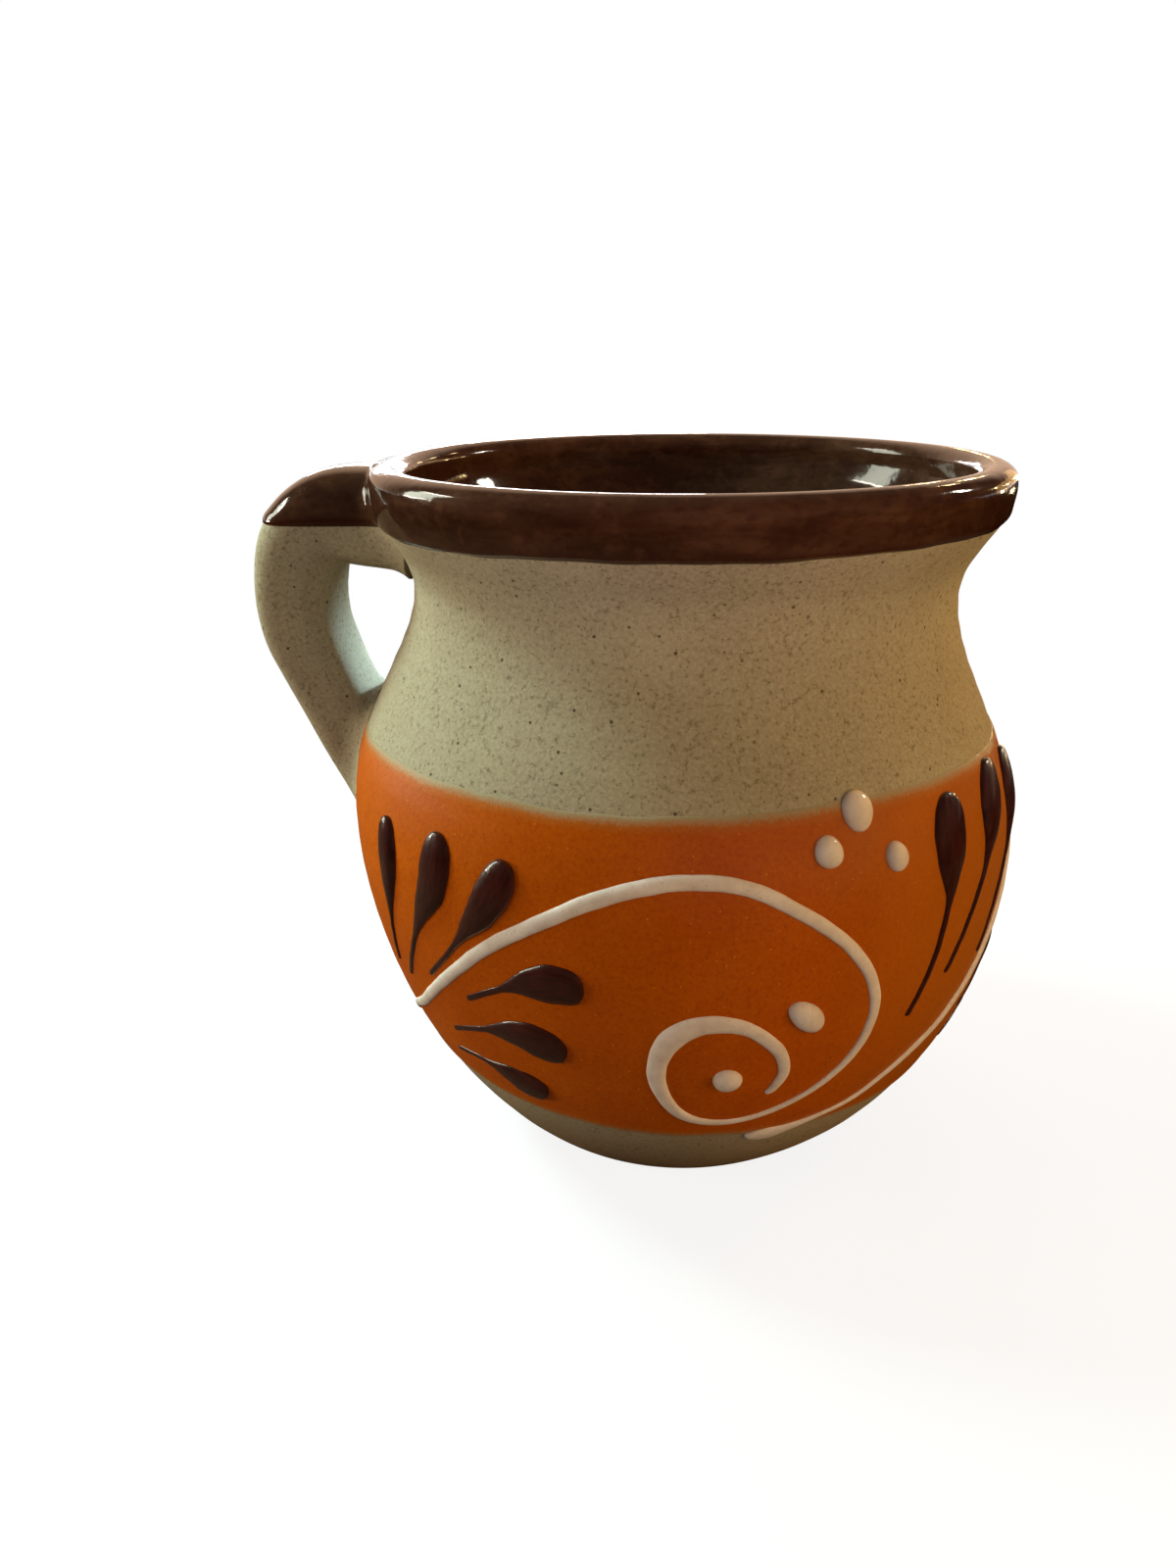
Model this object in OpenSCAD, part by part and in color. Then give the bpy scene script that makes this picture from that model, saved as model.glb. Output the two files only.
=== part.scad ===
// Small clay mug: a thrown pot with a strap handle, a dipped glaze over the rim, the lining
// and the top of the handle, and a slip band with three trailed scrolls and petal fans.
// Z is up and the origin is the centre of the foot. The handle points along -X.

/* [Pot] */
// Width across the foot
foot_d = 50; // [42:1:58]
// Width across the belly, the widest place
belly_d = 93; // [84:1:104]
// Width across the neck
neck_d = 74; // [66:1:80]
// Width across the lip
lip_d = 84.5; // [80:0.5:92]
// Height of the belly's widest place above the foot
belly_z = 48; // [44:1:54]
// Rise from the belly's widest place to the neck
shoulder_h = 32; // [30:1:40]
// Rise from the neck to the lip's widest place
throat_h = 14.5; // [11:0.5:16]
// Rise of the rounded top of the lip
crown_h = 1.5; // [0.8:0.1:2.4]
// Thickness of the lip
lip_t = 4.2; // [3:0.1:5.5]
// Thickness of the wall
wall = 4.4; // [3.4:0.1:5.6]
// Thickness of the floor
floor_t = 6; // [4:0.5:8]

/* [Handle] */
// Distance from the wall out to the strap's middle line, where it stands off most
handle_reach = 16.8; // [14:0.2:20]
// Height of the middle of the lower root
handle_low_z = 47; // [42:1:52]
// Drop from the top of the lip to the middle of the upper root
handle_drop = 7; // [6.5:0.5:9]
// Width of the strap at the upper root
strap_top_w = 19; // [14:0.5:22]
// Width of the strap at the lower root
strap_low_w = 13; // [10:0.5:17]
// Thickness of the strap where it bends down
strap_t = 11.4; // [9:0.2:12.6]

/* [Glaze and band] */
// Thickness of the glaze
glaze_t = 0.35; // [0.2:0.05:0.6]
// Drop from the top of the lip to the edge of the glaze
glaze_drop = 7; // [5:0.5:9]
// Thickness of the band's slip
band_t = 0.2; // [0.1:0.05:0.4]
// Reach of the band below the belly's widest place
band_below = 32; // [28:1:36]
// Reach of the band above the belly's widest place
band_above = 14; // [12:1:17]

/* [Trailed slip] */
// Width of the scroll's line
line_w = 1.9; // [1.4:0.1:2.4]
// Relief of the scroll's line
line_relief = 0.6; // [0.4:0.1:1.2]
// Width of a petal's head
petal_w = 5.6; // [4.4:0.1:6.2]
// Relief of a petal's head
petal_relief = 1; // [0.5:0.1:1.4]
// Width of a large dot
dot_w = 4; // [3:0.1:4.6]
// Relief of a large dot
dot_relief = 1.2; // [0.6:0.1:1.6]

/* [Hidden] */
motifs = 3;
// Angle round the pot that is left to the handle, and the turn from the handle to the first motif
handle_angle = 54;
motif_lead = 3;
motif_pitch = (360 - handle_angle) / motifs;

foot_r = foot_d / 2;
belly_r = belly_d / 2;
neck_r = neck_d / 2;
lip_r = lip_d / 2;
neck_z = belly_z + shoulder_h;
lip_z = neck_z + throat_h;
pot_h = lip_z + crown_h;
glaze_z = pot_h - glaze_drop;
band_low_z = belly_z - band_below;
band_high_z = belly_z + band_above;
band_h = band_high_z - band_low_z;
handle_high_z = pot_h - handle_drop;

// How far a cut runs past what it cuts
overrun = wall;
// Height over which the wall's slope is measured
slope_step = belly_z / 100;
// Room between a trailed line and the band under it, for the flats between its points
seat_gap = band_t / 4;

// Bends of the outline: [outward share, upward share] of the run between its two ends
foot_bend_shares = [0.57, 0.2];
belly_low_bend_share = 0.55;
shoulder_bend_shares = [0.44, 0.71];
throat_low_bend_share = 0.45;
throat_high_bend_shares = [1.15, 0.56];
// The lining: the flat of the floor and the bend above it, as shares of the belly's inner radius
floor_flat_share = 0.28;
floor_bend_share = 0.78;
lining_bend_share = 0.45;

// The strap's middle line from the upper root to the lower one, as shares: stand-off from the wall
// by the handle's reach, height by the rise from the lower root to the upper one, and thickness
strap_shares = [
    [-0.22, 0.97, 1.18],
    [0.072, 0.987, 1.18],
    [0.433, 0.986, 1.11],
    [0.822, 0.91, 1.04],
    [1, 0.769, 0.985],
    [0.906, 0.63, 0.92],
    [0.676, 0.51, 0.865],
    [0.388, 0.38, 0.84],
    [0.107, 0.25, 0.88],
    [-0.149, 0.12, 0.93],
    [-0.425, -0.02, 0.98],
];
// Squareness of the strap's section: 2 is an ellipse
strap_squareness = 3.6;
strap_sides = 20;
strap_steps = 3;

// A motif's places are [turn share, height share] of the motif's pitch and of the band's height.
// The scroll's line has a third share, of the line's width.
scroll_shares = [
    [-0.01, -0.005, 0.3],
    [0.005, -0.008, 1.1],
    [0.033, -0.004, 1.5],
    [0.07, 0.012, 0.9],
    [0.126, 0.038, 0.5],
    [0.18, 0.068, 0.5],
    [0.233, 0.124, 0.6],
    [0.285, 0.185, 0.7],
    [0.351, 0.253, 0.8],
    [0.417, 0.35, 0.85],
    [0.493, 0.472, 0.9],
    [0.574, 0.601, 0.95],
    [0.663, 0.71, 1],
    [0.751, 0.797, 1.05],
    [0.85, 0.846, 1],
    [0.949, 0.832, 0.95],
    [1.037, 0.746, 0.9],
    [1.103, 0.647, 0.85],
    [1.148, 0.53, 0.85],
    [1.162, 0.414, 0.8],
    [1.142, 0.29, 0.7],
    [1.089, 0.184, 0.55],
    [1.014, 0.108, 0.5],
    [0.938, 0.078, 0.6],
    [0.873, 0.11, 0.85],
    [0.837, 0.204, 1.05],
    [0.83, 0.314, 1.3],
    [0.856, 0.415, 1.65],
    [0.905, 0.455, 1.4],
    [0.96, 0.436, 1.05],
    [1.008, 0.361, 0.9],
    [1.026, 0.28, 0.8],
    [1.014, 0.215, 0.65],
    [1.002, 0.198, 0.35],
];
scroll_steps = 3;

// The petals of a fan, each from the tip of its tail to the end of its head
petal_shares = [
    [[0.3, 0.362], [0.32, 0.48], [0.34, 0.6], [0.35, 0.727], [0.342, 0.85]],
    [[0.342, 0.347], [0.387, 0.472], [0.43, 0.602], [0.469, 0.733], [0.479, 0.875]],
    [[0.426, 0.416], [0.481, 0.515], [0.531, 0.622], [0.577, 0.731], [0.609, 0.851]],
    [[0.511, 0.394], [0.562, 0.45], [0.613, 0.5], [0.669, 0.532], [0.726, 0.535]],
    [[0.443, 0.231], [0.502, 0.279], [0.563, 0.317], [0.627, 0.329], [0.687, 0.293]],
    [[0.42, 0.135], [0.48, 0.151], [0.534, 0.149], [0.583, 0.13], [0.632, 0.107]],
];
// The upper petals of the middle fan, which reach higher than those of the others and are wider
high_petal_shares = [
    [[0.237, 0.36], [0.27, 0.508], [0.289, 0.662], [0.296, 0.818], [0.312, 0.964]],
    [[0.312, 0.452], [0.356, 0.584], [0.396, 0.719], [0.433, 0.852], [0.471, 0.98]],
    [[0.427, 0.431], [0.475, 0.575], [0.52, 0.7], [0.565, 0.83], [0.6, 0.95]],
];
high_fan = ceil(motifs / 2);
petal_width_shares = [0.7, 0.91, 0.87, 1, 1, 0.93];
high_petal_width_shares = [1.08, 1.04, 1];
petal_steps = 14;
// Where a petal starts to swell, which the middle fan's upper ones do later, and where it is
// widest, along its length, and the widths of its tail and of the flat at its head's end
petal_swell_share = 0.33;
high_petal_swell_share = 0.5;
petal_widest_share = 0.8;
petal_tail_share = 0.16;
petal_end_share = 0.17;

// The dots: [turn share, height share], [long share, short share] of a dot's width, and lean
dot_shares = [
    [[1.124, 0.981], [1.2, 1.02], 104],
    [[1.07, 0.898], [1, 0.84], 116],
    [[1.182, 0.856], [0.92, 0.78], 102],
    [[1.047, 0.457], [1.42, 0.88], -44],
    [[0.938, 0.26], [0.92, 0.9], 0],
];
dot_sides = 12;
// Angles up a dot's dome at which its rings lie
dot_rings = [0, 30, 60];

// Curves

// A cubic curve from a to d that leaves towards b and arrives from c, without its last point
function bend(a, b, c, d, count) = [
    for (i = [0:count - 1])
        let (t = i / count, s = 1 - t)
        s * s * s * a + 3 * s * s * t * b + 3 * s * t * t * c + t * t * t * d
];

// A smooth curve through places, where t runs from 0 at the first to 1 at the last
function through(places, t) =
    let (
        last = len(places) - 1,
        i = min(floor(t * last), last - 1),
        u = t * last - i,
        a = places[max(i - 1, 0)],
        b = places[i],
        c = places[i + 1],
        d = places[min(i + 2, last)]
    )
    b + u / 2 * ((c - a) + u * ((2 * a - 5 * b + 4 * c - d) + u * (3 * b - a - 3 * c + d)));

// The pot's outline, [radius, height]

// The outer wall from the foot up to the lip's widest place
outer_run = concat(
    bend(
        [foot_r, 0],
        [foot_r + foot_bend_shares[0] * (belly_r - foot_r), foot_bend_shares[1] * belly_z],
        [belly_r, belly_low_bend_share * belly_z],
        [belly_r, belly_z],
        18
    ),
    bend(
        [belly_r, belly_z],
        [belly_r, belly_z + shoulder_bend_shares[0] * shoulder_h],
        [neck_r, belly_z + shoulder_bend_shares[1] * shoulder_h],
        [neck_r, neck_z],
        16
    ),
    bend(
        [neck_r, neck_z],
        [neck_r, neck_z + throat_low_bend_share * throat_h],
        [
            neck_r + throat_high_bend_shares[0] * (lip_r - neck_r),
            neck_z + throat_high_bend_shares[1] * throat_h
        ],
        [lip_r, lip_z],
        10
    )
);

// The rounded top of the lip, from the outside to the inside
lip_run = [
    for (a = [0:15:180])
        [lip_r - lip_t / 2 + lip_t / 2 * cos(a), lip_z + crown_h * sin(a)]
];

// The lining from below the lip down to the flat of the floor
inner_belly_r = belly_r - wall;
inner_neck_r = neck_r - wall;
inner_lip_r = lip_r - lip_t;
inner_run = concat(
    [
        for (p = bend(
            [inner_lip_r, lip_z],
            [
                inner_neck_r + throat_high_bend_shares[0] * (inner_lip_r - inner_neck_r),
                neck_z + throat_high_bend_shares[1] * throat_h
            ],
            [inner_neck_r, neck_z + throat_low_bend_share * throat_h],
            [inner_neck_r, neck_z],
            10
        ))
            if (p[1] < lip_z) p
    ],
    bend(
        [inner_neck_r, neck_z],
        [inner_neck_r, belly_z + shoulder_bend_shares[1] * shoulder_h],
        [inner_belly_r, belly_z + shoulder_bend_shares[0] * shoulder_h],
        [inner_belly_r, belly_z],
        16
    ),
    bend(
        [inner_belly_r, belly_z],
        [inner_belly_r, lining_bend_share * belly_z],
        [floor_bend_share * inner_belly_r, floor_t],
        [floor_flat_share * inner_belly_r, floor_t],
        18
    ),
    [[floor_flat_share * inner_belly_r, floor_t], [0, floor_t]]
);

// The wall's outer radius at a height, and how fast it widens upwards
wall_table = [for (p = concat(outer_run, [[lip_r, lip_z]])) [p[1], p[0]]];
function wall_r(z) = lookup(z, wall_table);
function wall_slope(z) = (wall_r(z + slope_step) - wall_r(z - slope_step)) / (2 * slope_step);

// An outline moved outwards by a distance, square to itself. A point on the axis stays on it.
function coated(run, distance) = [
    for (i = [0:len(run) - 1])
        let (
            along = run[min(i + 1, len(run) - 1)] - run[max(i - 1, 0)],
            out = [along[1], -along[0]] / norm(along),
            moved = run[i] + distance * out
        )
        run[i][0] == 0 ? [0, run[i][1] + distance] : moved
];

// The same list back to front
function reversed(list) = [for (i = [len(list) - 1:-1:0]) list[i]];

// The outer wall between two heights, with a point on the wall at each end
function wall_between(low, high) = concat(
    [[wall_r(low), low]],
    [for (p = outer_run) if (p[1] > low && p[1] < high) p],
    [[wall_r(high), high]]
);

// The surface that the glaze covers: outside from the dip line up, over the lip and down inside
glazed_run = concat(wall_between(glaze_z, lip_z), [for (i = [1:len(lip_run) - 1]) lip_run[i]], inner_run);
band_run = wall_between(band_low_z, band_high_z);

// Places on the wall

// The point over a turn and a height, lifted square off the wall
function on_wall(turn, z, lift) =
    let (slope = wall_slope(z), out = lift / sqrt(1 + slope * slope))
    [(wall_r(z) + out) * cos(turn), (wall_r(z) + out) * sin(turn), z - out * slope];

// Length along the wall for one degree of turn, and for one unit of height
function turn_length(z) = wall_r(z) * PI / 180;
function rise_length(z) = let (slope = wall_slope(z)) sqrt(1 + slope * slope);

// The turn and height of a motif's place
function motif_place(m, place) = [
    motif_lead - 180 + (m - 1 + place[0]) * motif_pitch,
    band_low_z + place[1] * band_h
];

// A place moved over the wall by a distance, at an angle from level
function beside(place, angle, distance) = [
    place[0] + distance * cos(angle) / turn_length(place[1]),
    place[1] + distance * sin(angle) / rise_length(place[1])
];

// The angle from level of the way between two places
function heading(a, b) = atan2((b[1] - a[1]) * rise_length(a[1]), (b[0] - a[0]) * turn_length(a[1]));

// Solids

// A closed skin over rings of points, the same count in each, with a flat at each end
module loft(rings) {
    n = len(rings[0]);
    last = len(rings) - 1;
    polyhedron(
        points = [for (ring = rings) each ring],
        faces = concat(
            [[for (j = [0:n - 1]) j]],
            [
                for (i = [0:last - 1], j = [0:n - 1])
                    let (a = i * n + j, b = i * n + (j + 1) % n)
                    each [[a, a + n, b + n], [a, b + n, b]]
            ],
            [[for (j = [n - 1:-1:0]) last * n + j]]
        )
    );
}

// The section of a trailed line: five points over a low dome and one under it
function trail_ring(place, angle, width, relief) = [
    for (a = [0:45:180])
        let (p = beside(place, angle + 90, width / 2 * cos(a)))
        on_wall(p[0], p[1], band_t + seat_gap + relief * sin(a)),
    on_wall(place[0], place[1], band_t + seat_gap)
];

// A trailed line over places, with the width and the relief at each
module trail(places, widths, reliefs) {
    last = len(places) - 1;
    loft([
        for (i = [0:last])
            trail_ring(
                places[i],
                heading(places[max(i - 1, 0)], places[min(i + 1, last)]),
                widths[i],
                reliefs[i]
            )
    ]);
}

// A low dome on the wall, an oval of two widths that leans by an angle
module dome(place, long, short, lean, relief) {
    n = dot_sides;
    tiers = len(dot_rings);
    function rim_place(a, reach) =
        let (across = short / 2 * sin(a), along = long / 2 * cos(a))
        beside(place, lean + atan2(across, along), reach * norm([along, across]));
    polyhedron(
        points = concat(
            [on_wall(place[0], place[1], band_t + seat_gap)],
            [
                for (up = dot_rings, j = [0:n - 1])
                    let (a = 360 * j / n, p = rim_place(a, cos(up)))
                    on_wall(p[0], p[1], band_t + seat_gap + relief * sin(up))
            ],
            [on_wall(place[0], place[1], band_t + seat_gap + relief)]
        ),
        faces = concat(
            [for (j = [0:n - 1]) [0, 1 + j, 1 + (j + 1) % n]],
            [
                for (i = [0:tiers - 2], j = [0:n - 1])
                    let (a = 1 + i * n + j, b = 1 + i * n + (j + 1) % n)
                    each [[a, a + n, b + n], [a, b + n, b]]
            ],
            [
                for (j = [0:n - 1])
                    let (a = 1 + (tiers - 1) * n)
                    [a + j, 1 + tiers * n, a + (j + 1) % n]
            ]
        )
    );
}

// The strap handle before it is fitted to the pot, grown on every side by an amount
module strap(grow) {
    places = [
        for (s = strap_shares)
            let (z = handle_low_z + s[1] * (handle_high_z - handle_low_z))
            [wall_r(z) + s[0] * handle_reach, z, s[2]]
    ];
    count = strap_steps * (len(places) - 1);
    middle = [for (i = [0:count]) through(places, i / count)];
    loft([
        for (i = [0:count])
            let (
                t = i / count,
                way = middle[min(i + 1, count)] - middle[max(i - 1, 0)],
                out = [way[1], -way[0]] / norm([way[0], way[1]]),
                half_t = strap_t * middle[i][2] / 2 + grow,
                half_w = (strap_top_w + (strap_low_w - strap_top_w) * t) / 2 + grow
            )
            [
                for (j = [0:strap_sides - 1])
                    let (
                        a = 360 * j / strap_sides,
                        u = sign(cos(a)) * pow(abs(cos(a)), 2 / strap_squareness) * half_t,
                        v = sign(sin(a)) * pow(abs(sin(a)), 2 / strap_squareness) * half_w
                    )
                    [-middle[i][0] - u * out[0], -v, middle[i][1] + u * out[1]]
            ]
    ]);
}

// The pot's outside filled solid, with a coat over it
module filled_pot(coat) {
    run = coated(concat(outer_run, [for (p = lip_run) if (p[0] >= lip_r - lip_t / 2) p]), coat);
    rotate_extrude($fn = 120)
        polygon(concat([[0, 0]], run, [[0, pot_h + coat]]));
}

// A coat on part of the pot's outline
module coat_on(run, thickness) {
    rotate_extrude($fn = 120)
        polygon(concat(run, reversed(coated(run, thickness))));
}

// Sub-parts

module pot_body() {
    color([0.66, 0.6, 0.47])
        rotate_extrude($fn = 120)
            polygon(concat([[0, 0]], outer_run, lip_run, inner_run));
}

module handle() {
    color([0.62, 0.56, 0.44])
        difference() {
            strap(0);
            filled_pot(0);
        }
}

module rim_and_lining_glaze() {
    color([0.24, 0.09, 0.04])
        difference() {
            coat_on(glazed_run, glaze_t);
            strap(0);
        }
}

module handle_glaze() {
    reach = belly_r + handle_reach + strap_t;
    color([0.26, 0.1, 0.05])
        difference() {
            strap(glaze_t);
            strap(0);
            filled_pot(glaze_t);
            translate([-reach, -strap_top_w, -overrun])
                cube([reach, 2 * strap_top_w, glaze_z + overrun]);
        }
}

module slip_band() {
    color([0.72, 0.31, 0.08])
        difference() {
            coat_on(band_run, band_t);
            strap(0);
        }
}

module scroll(m) {
    count = scroll_steps * (len(scroll_shares) - 1);
    line = [for (i = [0:count]) through(scroll_shares, i / count)];
    color([0.86, 0.8, 0.7])
        trail(
            [for (p = line) motif_place(m, p)],
            [for (p = line) line_w * p[2]],
            [for (p = line) line_relief * sqrt(p[2])]
        );
}

// The share of a petal's full width along it, from its tail to its round head
function petal_width_share(t, swell) =
    let (u = max(0, min(1, (t - swell) / (petal_widest_share - swell))))
    t < petal_widest_share
        ? petal_tail_share + (1 - petal_tail_share) * u * u * (3 - 2 * u)
        : let (v = (t - petal_widest_share) / (1 - petal_widest_share))
          sqrt(1 - (1 - petal_end_share * petal_end_share) * v * v);

module petal(m, k) {
    // Steps shorten towards the head, where the outline is round
    steps = [for (i = [0:petal_steps]) sin(90 * i / petal_steps)];
    high = m == high_fan && k <= len(high_petal_shares);
    places = high ? high_petal_shares[k - 1] : petal_shares[k - 1];
    full_w = petal_w * (high ? high_petal_width_shares[k - 1] : petal_width_shares[k - 1]);
    swell = high ? high_petal_swell_share : petal_swell_share;
    share = [for (t = steps) petal_width_share(t, swell)];
    color([0.16, 0.07, 0.05])
        trail(
            [for (t = steps) motif_place(m, through(places, t))],
            full_w * share,
            [for (s = share) petal_relief * sqrt(s)]
        );
}

module dot(m, k) {
    place = dot_shares[k - 1][0];
    widths = dot_w * dot_shares[k - 1][1];
    color([0.88, 0.83, 0.73])
        dome(motif_place(m, place), widths[0], widths[1], dot_shares[k - 1][2], dot_relief);
}

pot_body();
handle();
rim_and_lining_glaze();
handle_glaze();
slip_band();
for (m = [1:motifs]) {
    scroll(m);
    for (k = [1:len(petal_shares)])
        petal(m, k);
    for (k = [1:len(dot_shares)])
        dot(m, k);
}
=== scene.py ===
import math

import bmesh
import bpy
import numpy as np
from mathutils import Matrix, Vector


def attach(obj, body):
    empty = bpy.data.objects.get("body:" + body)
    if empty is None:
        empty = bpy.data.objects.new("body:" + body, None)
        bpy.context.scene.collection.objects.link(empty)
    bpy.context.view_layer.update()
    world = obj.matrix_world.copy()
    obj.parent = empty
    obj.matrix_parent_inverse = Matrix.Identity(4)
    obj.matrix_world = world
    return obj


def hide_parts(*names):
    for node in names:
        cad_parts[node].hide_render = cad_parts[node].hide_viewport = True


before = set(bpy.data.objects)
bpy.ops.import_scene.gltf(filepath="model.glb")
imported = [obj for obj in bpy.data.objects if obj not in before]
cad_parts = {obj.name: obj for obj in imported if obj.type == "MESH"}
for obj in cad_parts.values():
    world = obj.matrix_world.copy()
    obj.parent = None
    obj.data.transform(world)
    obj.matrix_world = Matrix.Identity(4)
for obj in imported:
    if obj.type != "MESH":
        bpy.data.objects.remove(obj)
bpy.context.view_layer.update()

MM = 0.001

# The pot's outline, in metres, and the bends between its ends as shares of each run
FOOT_R = 25 * MM
BELLY_R = 46.5 * MM
NECK_R = 37 * MM
LIP_R = 42.25 * MM
BELLY_Z = 48 * MM
NECK_Z = 80 * MM
LIP_Z = 94.5 * MM
CROWN_H = 1.5 * MM
LIP_T = 4.2 * MM
WALL = 4.4 * MM
FLOOR_Z = 6 * MM
FOOT_BEVEL = 1.1 * MM
FOOT_BEVEL_INWARD = 1.6
FOOT_BEND = (0.57, 0.2)
BELLY_LOW_BEND = 0.55
SHOULDER_BEND = (0.44, 0.71)
THROAT_LOW_BEND = 0.45
THROAT_HIGH_BEND = (1.15, 0.56)
# Inside, how low the belly's bend starts, how far in it ends, and the flat of the floor
INSIDE_LOW_BEND = 0.45
INSIDE_FLOOR_BEND = 0.78
INSIDE_FLAT = 0.28

# Points round a ring, and along the runs of the outline outside and inside
TURNS = 336
LOW_POINTS = 70
SHOULDER_POINTS = 56
THROAT_POINTS = 26
LIP_STEP_DEGREES = 12
INSIDE_SHOULDER_POINTS = 50
INSIDE_LOW_POINTS = 64
INSIDE_FLAT_POINTS = 7
FOOT_POINTS = 7
UNDERSIDE_SHARES = (0.25, 0.5, 0.75, 0.95)
SLOPE_STEP = 0.48 * MM

# How far the thrown pot leans along X at some heights, both in millimetres
LEANS = [
    (0, 0), (8, 0.75), (14, 0.79), (20, 0.8), (26, 0.75), (32, 0.6), (38, 0.32), (44, 0.03),
    (48, -0.06), (54, -0.3), (58, -0.56), (62, -0.72), (66, -0.69), (70, -0.62), (77, -0.22),
    (84, 0.08), (93, 0), (98, 0),
]
# The thrown wall is a little oval, drifts with its height and keeps the rings of the fingers
OVAL = 0.05 * MM
OVAL_TWIST = 25
OVAL_PHASE = 0.7
DRIFT = 0.03 * MM
DRIFT_TWIST = -40
DRIFT_PHASE = -1.1
RING_PITCH = 3.7 * MM
RING_SWAY = 1.4
RING_SWAY_TWIST = 170
RING_LOW = 0.014 * MM
RING_HIGH = 0.036 * MM
RING_HIGH_Z = (60 * MM, 74 * MM)
TRUE_FOOT_Z = (0, 5 * MM)
# It was pressed in at the lip and the neck where the strap was joined
PRESS_SPREAD = 0.42
LIP_PRESS = 0.9 * MM
LIP_PRESS_Z = (84 * MM, 93 * MM)
NECK_PRESS = 0.4 * MM
NECK_PRESS_Z = (58 * MM, 66 * MM)
NECK_PRESS_END_Z = (80 * MM, 86 * MM)
# The floor inside keeps a spiral up to a small height over it, and the wall's wobble fades there
SPIRAL = 0.12 * MM
SPIRAL_PITCH = 4.6 * MM
SPIRAL_R = 18 * MM
SPIRAL_H = 0.5 * MM
CALM_R = 20 * MM

# The strap handle
HANDLE_REACH = 16.8 * MM
HANDLE_LOW_Z = 47 * MM
HANDLE_HIGH_Z = 89 * MM
STRAP_TOP_W = 19 * MM
STRAP_LOW_W = 13 * MM
STRAP_T = 11.4 * MM
STRAP_STATIONS = 180
STRAP_SIDES = 108
# The skin lies this far inside the solid's thickness and width
STRAP_INSET_T = 0.04 * MM
STRAP_INSET_W = 0.1 * MM
# The section is rounder at the upper root, and squarer past these shares of the strap
STRAP_SQUARE_TOP = 2.9
STRAP_SQUARE_LOW = 4.2
STRAP_SQUARE_RUN = (0.25, 0.55)
FILLET_R = 3.2 * MM
FILLET_TOP_R = 0.9 * MM
FILLET_TOP_Z = (84 * MM, 90 * MM)
ROOT_DEPTH = 1.6 * MM
CREST_Z = 95.7 * MM
CREST_DROP = 0.6 * MM
CREST_DROP_X = (42 * MM, 48 * MM)
GLAZED_STRAP_SHARE = 0.46
# Stand-off from the wall, height, and thickness, from the upper root to the lower one
STRAP_SHARES = [
    (-0.22, 0.97, 1.18), (0.072, 0.987, 1.18), (0.433, 0.986, 1.11), (0.822, 0.91, 1.04),
    (1, 0.769, 0.985), (0.906, 0.63, 0.92), (0.676, 0.51, 0.865), (0.388, 0.38, 0.84),
    (0.107, 0.25, 0.88), (-0.149, 0.12, 0.93), (-0.425, -0.02, 0.98),
]

# The glaze and the band. Each coat reaches a little under the skin of the clay.
GLAZE_T = 0.3 * MM
GLAZE_EDGE = 0.9 * MM
GLAZE_BEAD = 0.35
DIP_Z = 89.15 * MM
DIP_TILT = 0.0165
BAND_T = 0.17 * MM
BAND_EDGE = 1.4 * MM
BAND_BEAD = 0.15
BAND_LOW_Z = 16 * MM
BAND_HIGH_Z = 62 * MM
BEAD_SPREAD = 0.8
UNDER = 0.06 * MM
# Rows of a coat over its edge, in millimetres, and what a row far from the edge counts as
GLAZE_ROWS = (0, 0.04, 0.1, 0.2, 0.32, 0.46, 0.62, 0.8, 1.0, 1.25, 1.55, 1.9, 2.3, 2.8, 3.3, 3.9)
BAND_ROWS = (0, 0.04, 0.1, 0.2, 0.32, 0.46, 0.62, 0.8, 1.1, 1.5)
STRAP_COAT_ROWS = (0, 0.05, 0.12, 0.22, 0.36, 0.55, 0.8, 1.1)
STRAP_COAT_CUT = 1e-7
BAND_INSIDE_ROWS = 64
GLAZE_FAR_MM = 9
BAND_FAR_MM = 3

# Waves: height, count, and share of the phase that the wave starts from
DIP_WAVES = [(0.13, 3, 0.4), (0.09, 7, 2.1), (0.06, 16, 0.9), (0.045, 31, 1.7)]
BAND_WAVES = [(0.26, 2, 1), (0.2, 5, 2), (0.08, 13, 1), (0.05, 29, -1)]
BAND_LOW_PHASE = 0.6
BAND_HIGH_PHASE = 3.3
STRAP_WAVES = [(0.1, 9, 0.5), (0.06, 23, 1.2)]
WIDTH_WAVES = [(0.02, 0.9, 1), (0.012, 2.1, 2.3)]
WANDER_WAVES = [(0.02, 1.1, 1.7)]
DOT_WAVES = [(0.025, 2, 1), (0.02, 3, 2)]
# Phases that tell the motifs' lines, petals and dots apart, times their numbers
SCROLL_PHASE = 1.3
PETAL_PHASES = (2.1, 0.7)
DOT_PHASES = (1.9, 0.8)

# The trailed slip: each dome has a squareness and a fullness
MOTIFS = 3
MOTIF_LEAD = 3
MOTIF_PITCH = 102
LINE_W = 1.9 * MM
LINE_RELIEF = 0.42 * MM
LINE_DOME = (2.4, 0.6)
LINE_STEPS = 12
LEAST_LINE_SHARE = 0.2
PETAL_W = 5.6 * MM
PETAL_RELIEF = 1.0 * MM
PETAL_DOME = (2.6, 0.55)
PETAL_POINTS = 90
DOT_W = 4 * MM
DOT_RELIEF = 1.1 * MM
DOT_DOME = (2.2, 0.55)
DOT_SIDES = 40
DOT_RINGS = 13
DOT_TOP_DEGREES = 84
DOT_SKIRT = [(0.9, -UNDER), (1.0, 0.5 * BAND_T)]
DOME_POINTS = 17
HIDDEN_SHARES = (-0.9, -0.3, 0.3, 0.9)
LEAST_HALF_W = 0.2 * MM
LEAST_END = 0.02

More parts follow.
